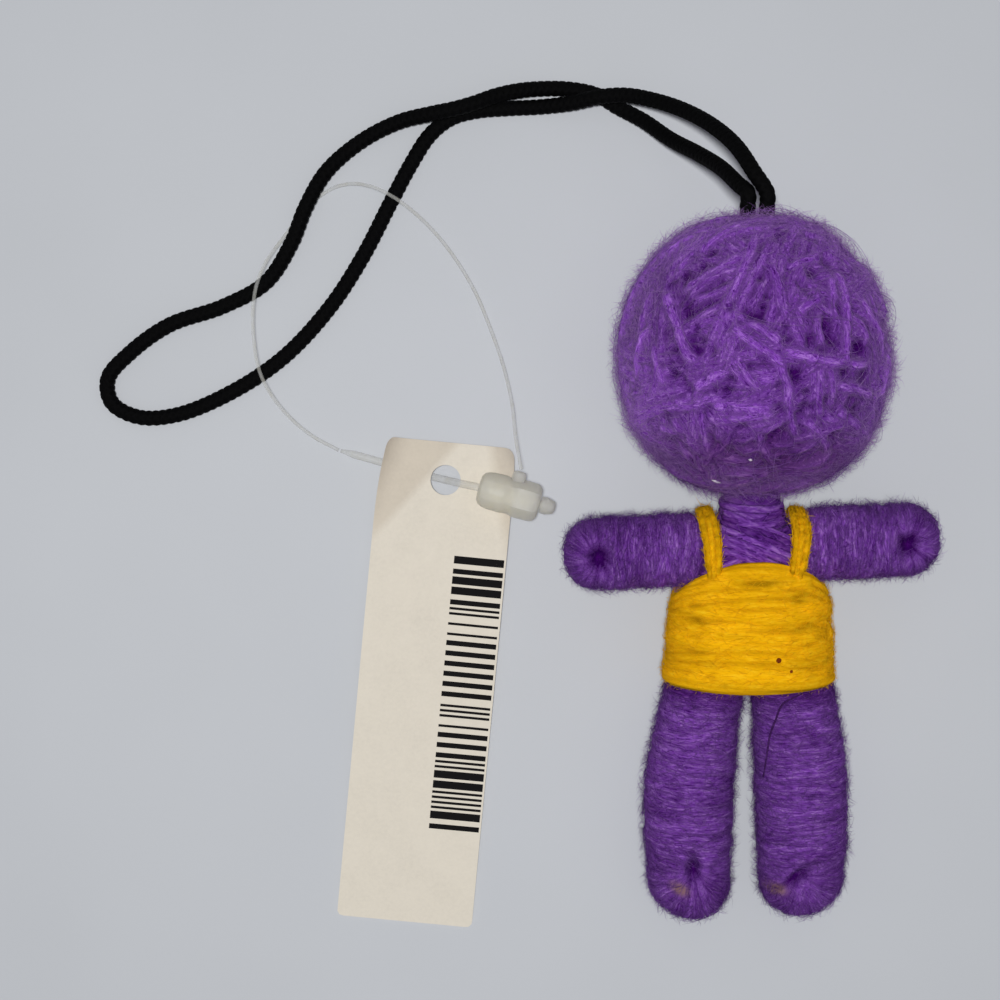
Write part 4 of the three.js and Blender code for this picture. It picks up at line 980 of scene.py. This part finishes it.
class DOLL_OT_vest(bpy.types.Operator):
    """Wind the vest from hem to top and tie its two straps"""
    bl_idname = "yarn_doll.vest"
    bl_label = "Vest and straps"

    # Hollows between turns that show at the front: place across and height, half length, half height and depth
    HOLLOWS = [[0.4, 14.2, 3.0, 0.45, 1.2], [-7.3, 9.2, 1.1, 0.5, 0.9], [5.5, 12.4, 1.2, 0.3, 0.7]]
    # Brown specks near the hem: place across and height, and radius
    SPECKS = np.array([[2.95, 4.6, 0.34], [4.6, 3.1, 0.2]])

    def strap(self, context, rng, word, hand):
        """Three strands side by side in one arch over the shoulder, each wavering a little, and their hairs."""
        sizes, colours = settings(context)
        foot = VEST_SIDE + 0.7 * (VEST_FRONT - VEST_SIDE) + 1.0 - SHOULDER
        rise, depth = NECK_TOP - SHOULDER - 1.3, 0.87 * (VEST_CORE - VEST_TAPER * VEST_FRONT) * FLATNESS
        arch = np.pi * np.arange(9) / 8
        tails = np.array([[foot - 1.9, depth - 1.9], [foot - 0.4, depth - 0.5], [foot + 0.8, depth + 0.05]])
        n, c, s = 70, np.cos(STRAP_LEAN), np.sin(STRAP_LEAN)
        strands = []
        for k, gap in enumerate((-0.62, 0.0, 0.6)):
            over = columns(gap + 0.12 * np.sin(3 * arch), rise * np.sin(arch), depth * np.cos(arch))
            rows = [*([gap, h, z] for h, z in tails), *over[1:-1], *([gap, h, -z] for h, z in tails[::-1])]
            p = line_through(rows, n) + [[0.1, 0, 0]] * np.sin(np.linspace(0, 14, n) + 2 * k)[:, None]
            x = p[:, 0] * c + hand * p[:, 1] * s + hand * (STRAP_ASIDE - foot * np.tan(STRAP_LEAN))
            strands.append(columns(x, -hand * p[:, 0] * s + p[:, 1] * c + SHOULDER, p[:, 2]))
        path = np.stack(strands)
        lift = columns(0, np.maximum(path[..., 1] - 18.5, 0), path[..., 2])
        tone = np.array([[0.42], [0.6], [0.48]]) + rng.normal(0, 0.1, (3, n))
        wide = 0.44 + 0.05 * rng.normal(size=(3, n))
        strap = tubes(on_doll(path), turned(lift), wide, wide + 0.1, 9, tone)
        piece(f"{word}_strap_yarn", [strap], yellow_yarn(colours), "torso", [f"{word}_strap"])

        count = 2600
        pick, which = rng.integers(7, 63, count), rng.integers(0, 3, count)
        grain = unit(path[which, pick + 1] - path[which, pick])
        normal = square_to(unit(rng.normal(size=(count, 3))), grain)
        fuzz = mixed_hairs(rng, path[which, pick] + 0.48 * normal, normal, grain, 0.3, sizes.hair / MM,
                           ((0.25, 0.8), (0.3, 1.0), 0.26), ((0.6, 1.6), (0.02, 0.16), 0.5), (0.0, 0.9))
        piece(f"{word}_strap_fuzz", [fuzz], yellow_hair(colours), "torso")

    def execute(self, context):
        sizes, colours = settings(context)
        rng = np.random.default_rng(31)
        half = sizes.vest_yarn / MM / 2
        # Wall of close turns with its hem and its top edge rolled in
        a = (once_round(320) - np.pi / 2)[None]
        share = np.concatenate([np.zeros(4), np.linspace(0, 1, 116), np.ones(3)])[:, None]
        roll = np.concatenate([[5.0, 2.6, 1.3, 0.5], np.zeros(116), [0.5, 1.6, 3.2]])[:, None]
        share, a = np.broadcast_arrays(share, a)
        y = 0.1 + share * (vest_top(a) + 0.15)
        phase = share * 11.5 + 0.34 * np.sin(a + 0.6) + 0.22 * np.sin(2 * a + 5 * share) - a / (2 * np.pi)
        table = rng.uniform(-1, 1, (4, 32))
        turns = close_turns(phase, a, table, 10, (0.42, 0.14), (0.55, 0.14, 0.42, 0.68))
        # Stray turns that ride over the others for part of the way round
        for _ in range(30):
            at, slope, wide = rng.uniform(-np.pi, np.pi), rng.normal(0, 0.35), rng.uniform(0.5, 1.3)
            far = angle_from(at, a)
            middle = 1.0 + rng.uniform(0, 1) * (vest_top(at) - 2.2) + slope * far + 0.12 * np.sin(4 * far)
            ends = ease(0, 0.4, 1 - np.abs(far) / wide)
            turns = lay_turn(turns, (y - middle) / (2 * half), ends, (0.2, 0.36), 10 * far, rng.uniform(0.5, 0.85))
        height, across, along, tone = turns
        # Hollows: bells round the given places and 14 lesser ones, sunk in and darkened with painted shade
        n = 14
        lesser = columns(rng.uniform(-9, 9, n), rng.uniform(1, 12, n), rng.uniform(0.7, 2.2, n), 0.3,
                         rng.uniform(0.3, 0.7, n))
        x, h, long, high, deep = np.concatenate([self.HOLLOWS, lesser]).T
        wall = vest_ring(y, a, 0.5)
        bell = np.exp(-((wall[..., :1] - x) / long) ** 2 - ((wall[..., 1:2] - h) / high) ** 2)
        pit = (deep * (wall[..., 2:] > 0) * bell).max(-1)
        height, tone = felted(height - 0.4 * pit, 2), np.clip(felted(tone - 0.5 * pit, 1), 0, 1)
        edge = 1 - ease(0, 0.05, share) * ease(0, 0.05, 1 - share)
        # Painted shade: the tone darkens towards the hem
        tone = np.clip(tone - 0.22 * (1 - ease(0, 0.07, share)), 0, 1)
        at = on_doll(vest_ring(y, a, 0.6 - height + roll + 0.45 * edge**2))
        vest = piece("vest_yarn", [relief(at, along, across + 0.5, tone)], yellow_yarn(colours), "torso",
                     ["vest_sleeve", "vest_winding"])
        normal = unit(columns(np.cos(a) * FLATNESS, 0, np.sin(a)))
        grain = columns(-np.sin(a), 0, np.cos(a) * FLATNESS)
        surface = {"at": at, "normal": turned(normal), "grain": turned(grain), "tone": tone}
        outer = 1.0 * (roll == 0)
        inner = outer * (np.abs(share - 0.5) <= 0.42)
        hair_pieces(rng, "vest", "torso", "yellow_yarn", surface, sizes.hair / MM, 9.0,
                    ("felt", 3600, True, inner, (0.6, 2.2), yellow_hair(colours)),
                    ("fuzz", 6400, False, outer * (1 + edge), (0.2, 0.9), yellow_hair(colours)))
        for word, hand in (("left", -1), ("right", 1)):
            self.strap(context, rng, word, hand)

        # Specks: flat grains on the wall
        f = Finish("brown_speck", Roughness=0.8, Specular_IOR_Level=0.05)
        f.mottle(f.noise(f.place(), 2400.0), (0.1, 0.016, 0.003), (0.26, 0.05, 0.008))
        x0, h, r = (column[:, None] for column in self.SPECKS.T)
        t = np.linspace(-0.94, 0.94, 7)[None, :]
        x, w = x0 + r * t, vest_width(h)
        path = columns(x, h + 0.2 * (x - x0), w * FLATNESS * np.sqrt(1 - (x / w) ** 2) + 0.02)
        size = r * np.sqrt(1 - t**2)
        specks = tubes(on_doll(path), FRONT, size, size * 0.5, 8, np.full(2, 0.5))
        piece("vest_specks", [specks], f.material, "torso")
        return {"FINISHED"}


class Limb:
    """One padded limb in its own frame: x across, y out from its bend, z to the doll's front. Half widths at the
    root and the tip, swell between them, length, reach above the bend and how square that end is, sideways bow,
    place of the eye, and its dimple: half sizes, turn and depth."""

    BOW_FROM, BOW_LONG = -3, 26   # start and length of the bow along the limb
    GLUE_HALF = 1.4, 0.85         # half sizes of a dab of glue

    def __init__(self, bend, axis, root, tip, swell, length, reach, power, bow, eye, dimple):
        self.at = np.array(bend, float) / MM
        self.axis = unit(axis[0] * ACROSS + axis[1] * UPWARD)
        self.side = np.cross(self.axis, FRONT)
        self.root, self.tip, self.swell, self.length = root, tip, swell, length
        self.reach, self.power, self.bow, self.eye, self.dimple = reach, power, bow, np.array(eye), dimple

    def radius(self, s):
        """Half width: rounded off above the bend, a taper with a slight swell, and a ball at the tip."""
        c = self.length - self.tip
        t = np.clip(s / c, 0, 1)
        body = self.root + (self.tip - self.root) * t + self.swell * np.sin(np.pi * t)
        rest = np.maximum(1 - np.clip(-s / self.reach, 0, 1) ** self.power, 0)
        above = self.root * rest ** (1 / max(self.power - 2, 2))
        beyond = np.sqrt(np.maximum(self.tip**2 - np.maximum(s - c, 0) ** 2, 0))
        return np.where(s < 0, above, np.where(s > c, beyond, body))

    def pit(self, p):
        """How deep in the eye's dimple a point is, 0 to 1: a bell over an ellipse turned in the x y plane."""
        along, across, turn, _ = self.dimple
        q = p[..., :2] - self.eye
        u = q[..., 0] * np.sin(turn) + q[..., 1] * np.cos(turn)
        v = q[..., 0] * np.cos(turn) - q[..., 1] * np.sin(turn)
        return np.exp(-((u / along) ** 2 + (v / across) ** 2)) * (p[..., 2] > 0)

    def world(self, p):
        """Limb points in the scene's frame, drawn in at the eye and bowed to one side by a sine of the length."""
        x = p[..., :1] + self.bow * np.sin(np.pi * (p[..., 1:2] - self.BOW_FROM) / self.BOW_LONG)
        z = p[..., 2:] * (1 - self.dimple[3] * self.pit(p)[..., None])
        return self.at + x * self.side + p[..., 1:2] * self.axis + z * FRONT

    def way(self, v):
        """Directions of the limb's frame in the scene's frame."""
        return v[..., :1] * self.side + v[..., 1:2] * self.axis + v[..., 2:] * FRONT

    def surface(self, s, a):
        """Point of the limb at s along it and angle a round it, and its outward normal."""
        r = self.radius(s)
        slope = (self.radius(s + 0.03) - self.radius(s - 0.03)) / 0.06
        normal = unit(columns(np.cos(a), -np.clip(slope, -30, 30), np.sin(a)))
        return columns(r * np.cos(a), s, r * np.sin(a)), normal

    def glue(self, v, across, along, turn):
        """Share of glue at points of the scene: a flat bell over a turned ellipse at the front."""
        q = v - self.at - across * self.side - along * self.axis
        x, y = q @ self.side, q @ self.axis
        c, s = np.cos(turn), np.sin(turn)
        far = ((x * c + y * s) / self.GLUE_HALF[0]) ** 2 + ((y * c - x * s) / self.GLUE_HALF[1]) ** 2
        return np.exp(-(far**1.5)) * (q @ FRONT > 1.0)

    def yarn(self, rng, half, pitch, stop, glue):
        """Skin of the limb: close turns along the shaft, stray ones over them, and strands fanned from the eye."""
        c = self.length - self.tip
        s = np.concatenate([np.linspace(0.03 - self.reach, 0, 24)[:-1], np.linspace(0, c, int(c / 0.15))[:-1],
                            c + self.tip * np.sin(np.linspace(0, np.pi / 2 - 0.01, 56))])[:, None]
        s, a = np.broadcast_arrays(s, (once_round(190) - np.pi / 2)[None])
        p, normal = self.surface(s, a)
        table = rng.uniform(-1, 1, (4, 64))
        f1, f2 = rng.uniform(0, 6.3, 2)
        # The phase of the close turns wavers along and round
        waver = 0.3 * np.sin(0.8 * s + f1) + 0.22 * np.sin(a + f2 + 0.45 * s) + 0.1 * np.sin(3 * a + s)
        phase = (s + waver) / pitch - a / (2 * np.pi)
        turns = close_turns(phase, a, table, self.tip, (0.24, 0.12), (0.47, 0.16, 0.2, 0.6))
        # Stray turns
        for _ in range(46):
            at, slope, wide = rng.uniform(-np.pi, np.pi), rng.normal(0, 0.45), rng.uniform(0.4, 1.4)
            far = angle_from(at, a)
            x = (s - rng.uniform(0.6 - self.reach, stop) - slope * far - 0.12 * np.sin(4 * far)) / (2 * half)
            ends = ease(0, 0.45, 1 - np.abs(far) / wide)
            turns = lay_turn(turns, x, ends, (0.16, 0.24), self.tip * far, rng.uniform(0.32, 0.7))
        height, across, along, tone = turns
        # Fan: strands are equal shares of the bearing from the eye, seen from the front
        q = p[..., :2] - self.eye
        bearing, distance = np.arctan2(q[..., 0], q[..., 1]), np.linalg.norm(q, axis=-1)
        spoke = bearing * 25 / np.pi + 0.3 * np.sin(3 * bearing + f1) + 0.12 * np.sin(2.5 * distance + f2)
        ray = np.round(spoke)
        k = ray.astype(int) % 64
        back = crown_of(spoke - ray)
        fan = ease(-0.5, 0.6, s - stop + 0.35 * np.sin(3 * a + f1))
        height = height * (1 - fan) + (0.22 * back * ease(0.2, 2.0, distance) + 0.1 * table[1][k]) * fan
        # Painted shading: each fanned strand is lighter on its round back
        tone = tone * (1 - fan) + fan * (0.46 + 0.22 * table[3][k] + 0.14 * (back - 0.6))
        across, along = np.where(fan > 0.5, spoke - ray, across), np.where(fan > 0.5, distance, along)
        spread = columns(np.sin(bearing), np.cos(bearing), 0)
        grain = columns(-np.sin(a), 0.05, np.cos(a)) * (1 - fan[..., None]) + spread * fan[..., None]
        # Painted shade in the gaps where the turns part, which are also sunk
        for _ in range(36):
            at, where, wide = rng.uniform(-np.pi, np.pi), rng.uniform(-2, stop), rng.uniform(0.08, 0.28)
            far = angle_from(at, a)
            parting = rng.uniform(0.4, 1.0) * np.exp(-((far / wide) ** 2) - ((s - where - 0.2 * far) / 0.25) ** 2)
            height, tone = height - 0.2 * parting, tone - 0.22 * parting
        fade = ease(0, 1.3, p[..., 0] ** 2 + p[..., 2] ** 2)
        height = felted(height * fade + 0.1 * (1 - fade), 2)
        # Painted shade in the eye's dimple and where the limb goes in under the vest
        under = 1 - ease(-0.8 * self.reach, -0.1 * self.reach, s)
        tone = np.clip(felted(tone, 1) * (1 - 0.6 * under) - 1.5 * self.dimple[3] * self.pit(p), 0, 1)
        p = p - normal * (0.55 - height)[..., None]
        at = self.world(p)
        skin = relief(at, along, across + 0.5, tone)
        skin["glue_tint"] = self.glue(skin["v"], *glue) if glue else np.zeros(len(skin["v"]))
        self.felt = {"at": at, "normal": self.way(normal), "grain": self.way(grain), "tone": tone}
        self.area = np.hypot(p[..., 0], p[..., 2]) * np.gradient(s[:, 0])[:, None] * (s > -0.8 * self.reach)
        return skin

    def wind(self, context, rng, name, pitch, stop, count, glue=None):
        """Makes the limb's pieces: padded yarn, its turns a pitch apart up to the fan, and laid and loose hair."""
        sizes, colours = settings(context)
        skin = self.yarn(rng, sizes.yarn / MM / 2, pitch, stop, glue)
        yarn = piece(f"{name}_yarn", [skin], purple_yarn(colours), name,
                     [f"{name}_core", f"{name}_winding"])
        hair_pieces(rng, name, name, "purple_yarn", self.felt, sizes.hair / MM, self.tip,
                    ("felt", count, True, self.area, (0.7, 2.5), purple_hair(colours)),
                    ("fuzz", count, False, self.area, (0.4, 2.2), purple_hair(colours)))


class DOLL_OT_arms(bpy.types.Operator):
    """Wind both arms and fan the strands round the eye in each hand"""
    bl_idname = "yarn_doll.arms"
    bl_label = "Arms"

    SLANT = np.radians(2.6)

    def execute(self, context):
        for seed, word, hand in ((41, "left", -1), (43, "right", 1)):
            axis = hand * np.cos(self.SLANT), hand * np.sin(self.SLANT)
            limb = Limb(JOINTS[f"{word}_shoulder"]["pos_m"], axis, root=4.8, tip=4.8, swell=0.05, length=15.8,
                        reach=4.8, power=2, bow=0.0, eye=(0.0, 11.0), dimple=(1.3, 1.6, 0.0, 0.48))
            limb.wind(context, np.random.default_rng(seed), f"{word}_arm", pitch=1.0, stop=9.8, count=4600)
        return {"FINISHED"}


class DOLL_OT_legs(bpy.types.Operator):
    """Wind both legs, fan the strands round the eye in each foot, and lay a loose thread on one"""
    bl_idname = "yarn_doll.legs"
    bl_label = "Legs"

    SPLAY = np.radians(3.5)
    # Seed, side, hand, half width, length, bow, eye, dimple, and the glue's place across and along and its turn
    LEGS = ((51, "left", -1, 5.45, 28.2, 0.97, (-0.3, 19.9), (1.9, 0.85, 0.1, 0.38), (1.66, 22.5, -0.5)),
            (53, "right", 1, 5.65, 27.8, -0.53, (0.9, 20.7), (2.0, 0.75, 0.95, 0.36), (3.7, 22.5, -0.2)))
    # The loose thread on the right leg: across and along the leg
    THREAD = np.array([[-0.6, -3.7], [1.9, -2.51], [3.07, -0.2], [3.87, 1.74], [4.44, 4.21], [4.86, 6.3],
                       [5.13, 7.6]])

    def thread(self, limb):
        """The loose thread: a thin tube just off the leg, pointed at both ends."""
        n = 60
        flat = line_through(np.concatenate([self.THREAD, 0 * self.THREAD[:, :1]], 1), n)
        z = np.sqrt(np.maximum((limb.radius(flat[:, 1]) + 0.06) ** 2 - flat[:, 0] ** 2, 0.02))
        p = columns(flat[:, 0], flat[:, 1], z)[None]
        size = 0.14 * (0.4 + 0.6 * np.sin(np.pi * np.linspace(0.04, 0.96, n)) ** 0.5)[None]
        f = Finish("dark_thread", Roughness=0.9, Specular_IOR_Level=0.05)
        f.mottle(f.noise(f.strand(), 3.0), (0.03, 0.008, 0.058), (0.07, 0.02, 0.12))
        tube = tubes(limb.world(p), limb.way(p * [1, 0, 1]), size, size, 6, PLAIN)
        piece("loose_thread", [tube], f.material, "right_leg")

    def execute(self, context):
        for seed, word, hand, root, length, bow, eye, dimple, glue in self.LEGS:
            axis = hand * np.sin(self.SPLAY), -np.cos(self.SPLAY)
            limb = Limb(JOINTS[f"{word}_hip"]["pos_m"], axis, root=root, tip=root + 0.15, swell=0.4, length=length,
                        reach=4.7, power=6, bow=bow, eye=eye, dimple=dimple)
            limb.wind(context, np.random.default_rng(seed), f"{word}_leg", 1.12, 19.4, 7600, glue)
            if word == "right":
                self.thread(limb)
        return {"FINISHED"}


class DOLL_OT_inside(bpy.types.Operator):
    """Give the ball, the wires and the cord's knot inside the doll their finishes"""
    bl_idname = "yarn_doll.inside"
    bl_label = "Ball, wires and knot"

    def execute(self, context):
        _, colours = settings(context)
        steel = Finish("bright_wire", Metallic=1.0)
        drawn = steel.noise(steel.stretch(steel.place(), 900.0, 60.0, 900.0), 1.0)
        steel.mottle(drawn, (0.42, 0.42, 0.43), (0.62, 0.62, 0.63))
        steel.feed("Roughness", steel.ramp(drawn, (0.3, 0.28), (0.7, 0.46)))
        foam = Finish("white_foam", Roughness=0.85)
        beads = foam.add("TexVoronoi", {"Vector": foam.place(), "Scale": 420.0}).outputs["Distance"]
        foam.feed("Base Color", foam.ramp(beads, (0.0, (0.88, 0.87, 0.84)), (0.8, (0.7, 0.69, 0.66))))
        foam.bump(beads, 0.4, 0.0004)
        knot = Finish("black_knot", Roughness=0.75)
        ply = knot.noise(knot.stretch(knot.place(), 1400.0, 500.0, 900.0), 1.0)
        knot.mottle(ply, dim(colours.cord, 0.4), colours.cord)
        knot.bump(ply, 0.6, 0.0003)
        limbs = [f"{side}_{limb}_wire" for side in ("left", "right") for limb in ("arm", "leg")]
        wires = [(node, steel) for node in ("spine_wire", "shoulder_wire", *limbs)]
        for node, finish in (("head_ball", foam), ("cord_knot", knot), *wires):
            mesh = frame["nodes"][node].data
            mesh.materials.clear()
            mesh.materials.append(finish.material)
        return {"FINISHED"}


class DOLL_OT_stage(bpy.types.Operator):
    """Set the pale surface, the soft lights and the camera straight above"""
    bl_idname = "yarn_doll.stage"
    bl_label = "Stage"

    # Lights: name, place and aim in metres, width, and power
    LIGHTS = (("overhead", (-0.048, 0.0094, 0.5), (-0.02, 0.005, 0.0), 0.04, 1.76),
              ("ceiling", (0.03, 0.06, 1.2), (0.0, 0.0, 0.0), 1.6, 0.8))
    CAMERA_AT = (-0.0321, 0.00936, 0.32)

    def execute(self, context):
        _, colours = settings(context)
        scene = context.scene
        f = Finish("pale_surface", Roughness=0.55, Specular_IOR_Level=0.25)
        f.mottle(f.noise(f.place(), 26.0, 2.0), dim(colours.floor, 0.97), colours.floor)
        f.bump(f.noise(f.place(), 900.0, 3.0), 0.04, 0.0003)
        n = 13
        x, y = np.meshgrid(*[np.linspace(-1.5, 1.5, n)] * 2)
        i, j = np.meshgrid(np.arange(n - 1), np.arange(n - 1))
        low = (j * n + i).ravel()
        mesh = bpy.data.meshes.new("surface_below")
        mesh.from_pydata(columns(x, y, 0).reshape(-1, 3).tolist(), [],
                         columns(low, low + 1, low + n + 1, low + n).tolist())
        mesh.materials.append(f.material)
        floor = bpy.data.objects.new("surface_below", mesh)
        scene.collection.objects.link(floor)

        for name, at, aim, size, power in self.LIGHTS:
            lamp = bpy.data.lights.new(name, "AREA")
            lamp.shape, lamp.size, lamp.energy = "DISK", size, power
            obj = bpy.data.objects.new(name, lamp)
            scene.collection.objects.link(obj)
            back = unit(np.array(at) - np.array(aim))
            side = unit(np.cross([0, 1, 0.1], back))
            up = np.cross(back, side)
            obj.matrix_world = Matrix([[side[k], up[k], back[k], at[k]] for k in range(3)] + [[0, 0, 0, 1]])
        world = bpy.data.worlds.new("soft_room")
        world.use_nodes = True
        sky = world.node_tree.nodes["Background"].inputs
        sky["Color"].default_value, sky["Strength"].default_value = (0.93, 0.95, 1.0, 1), 0.12
        scene.world = world
        scene.view_settings.view_transform = "Standard"

        lens = bpy.data.cameras.new("above")
        lens.sensor_width, lens.lens, lens.clip_start = 36.0, 86.4, 0.01
        camera = bpy.data.objects.new("above", lens)
        camera.location = self.CAMERA_AT
        scene.collection.objects.link(camera)
        scene.camera = camera
        return {"FINISHED"}


class DOLL_PT_panel(bpy.types.Panel):
    """The doll's pieces, sizes and colours"""
    bl_idname = "DOLL_PT_panel"
    bl_label = "Yarn Doll"
    bl_space_type = "VIEW_3D"
    bl_region_type = "UI"
    bl_category = "Yarn Doll"

    def draw(self, context):
        for operator in OPERATORS:
            self.layout.operator(operator.bl_idname)
        for group in settings(context):
            box = self.layout.box()
            for key in group.__annotations__:
                box.prop(group, key)


OPERATORS = (DOLL_OT_stage, DOLL_OT_cord, DOLL_OT_fastener, DOLL_OT_card, DOLL_OT_head, DOLL_OT_trunk,
             DOLL_OT_vest, DOLL_OT_arms, DOLL_OT_legs, DOLL_OT_inside)
CLASSES = (DollSizes, DollColours, *OPERATORS, DOLL_PT_panel)


def register():
    for cls in CLASSES:
        bpy.utils.register_class(cls)
    bpy.types.Scene.doll_sizes = bpy.props.PointerProperty(type=DollSizes)
    bpy.types.Scene.doll_colours = bpy.props.PointerProperty(type=DollColours)


def unregister():
    del bpy.types.Scene.doll_colours
    del bpy.types.Scene.doll_sizes
    for cls in reversed(CLASSES):
        bpy.utils.unregister_class(cls)


def main():
    register()
    bpy.ops.yarn_doll.stage()
    bpy.ops.yarn_doll.cord()
    bpy.ops.yarn_doll.fastener()
    bpy.ops.yarn_doll.card()
    bpy.ops.yarn_doll.head()
    bpy.ops.yarn_doll.trunk()
    bpy.ops.yarn_doll.vest()
    bpy.ops.yarn_doll.arms()
    bpy.ops.yarn_doll.legs()
    bpy.ops.yarn_doll.inside()


if __name__ == "__main__":
    main()
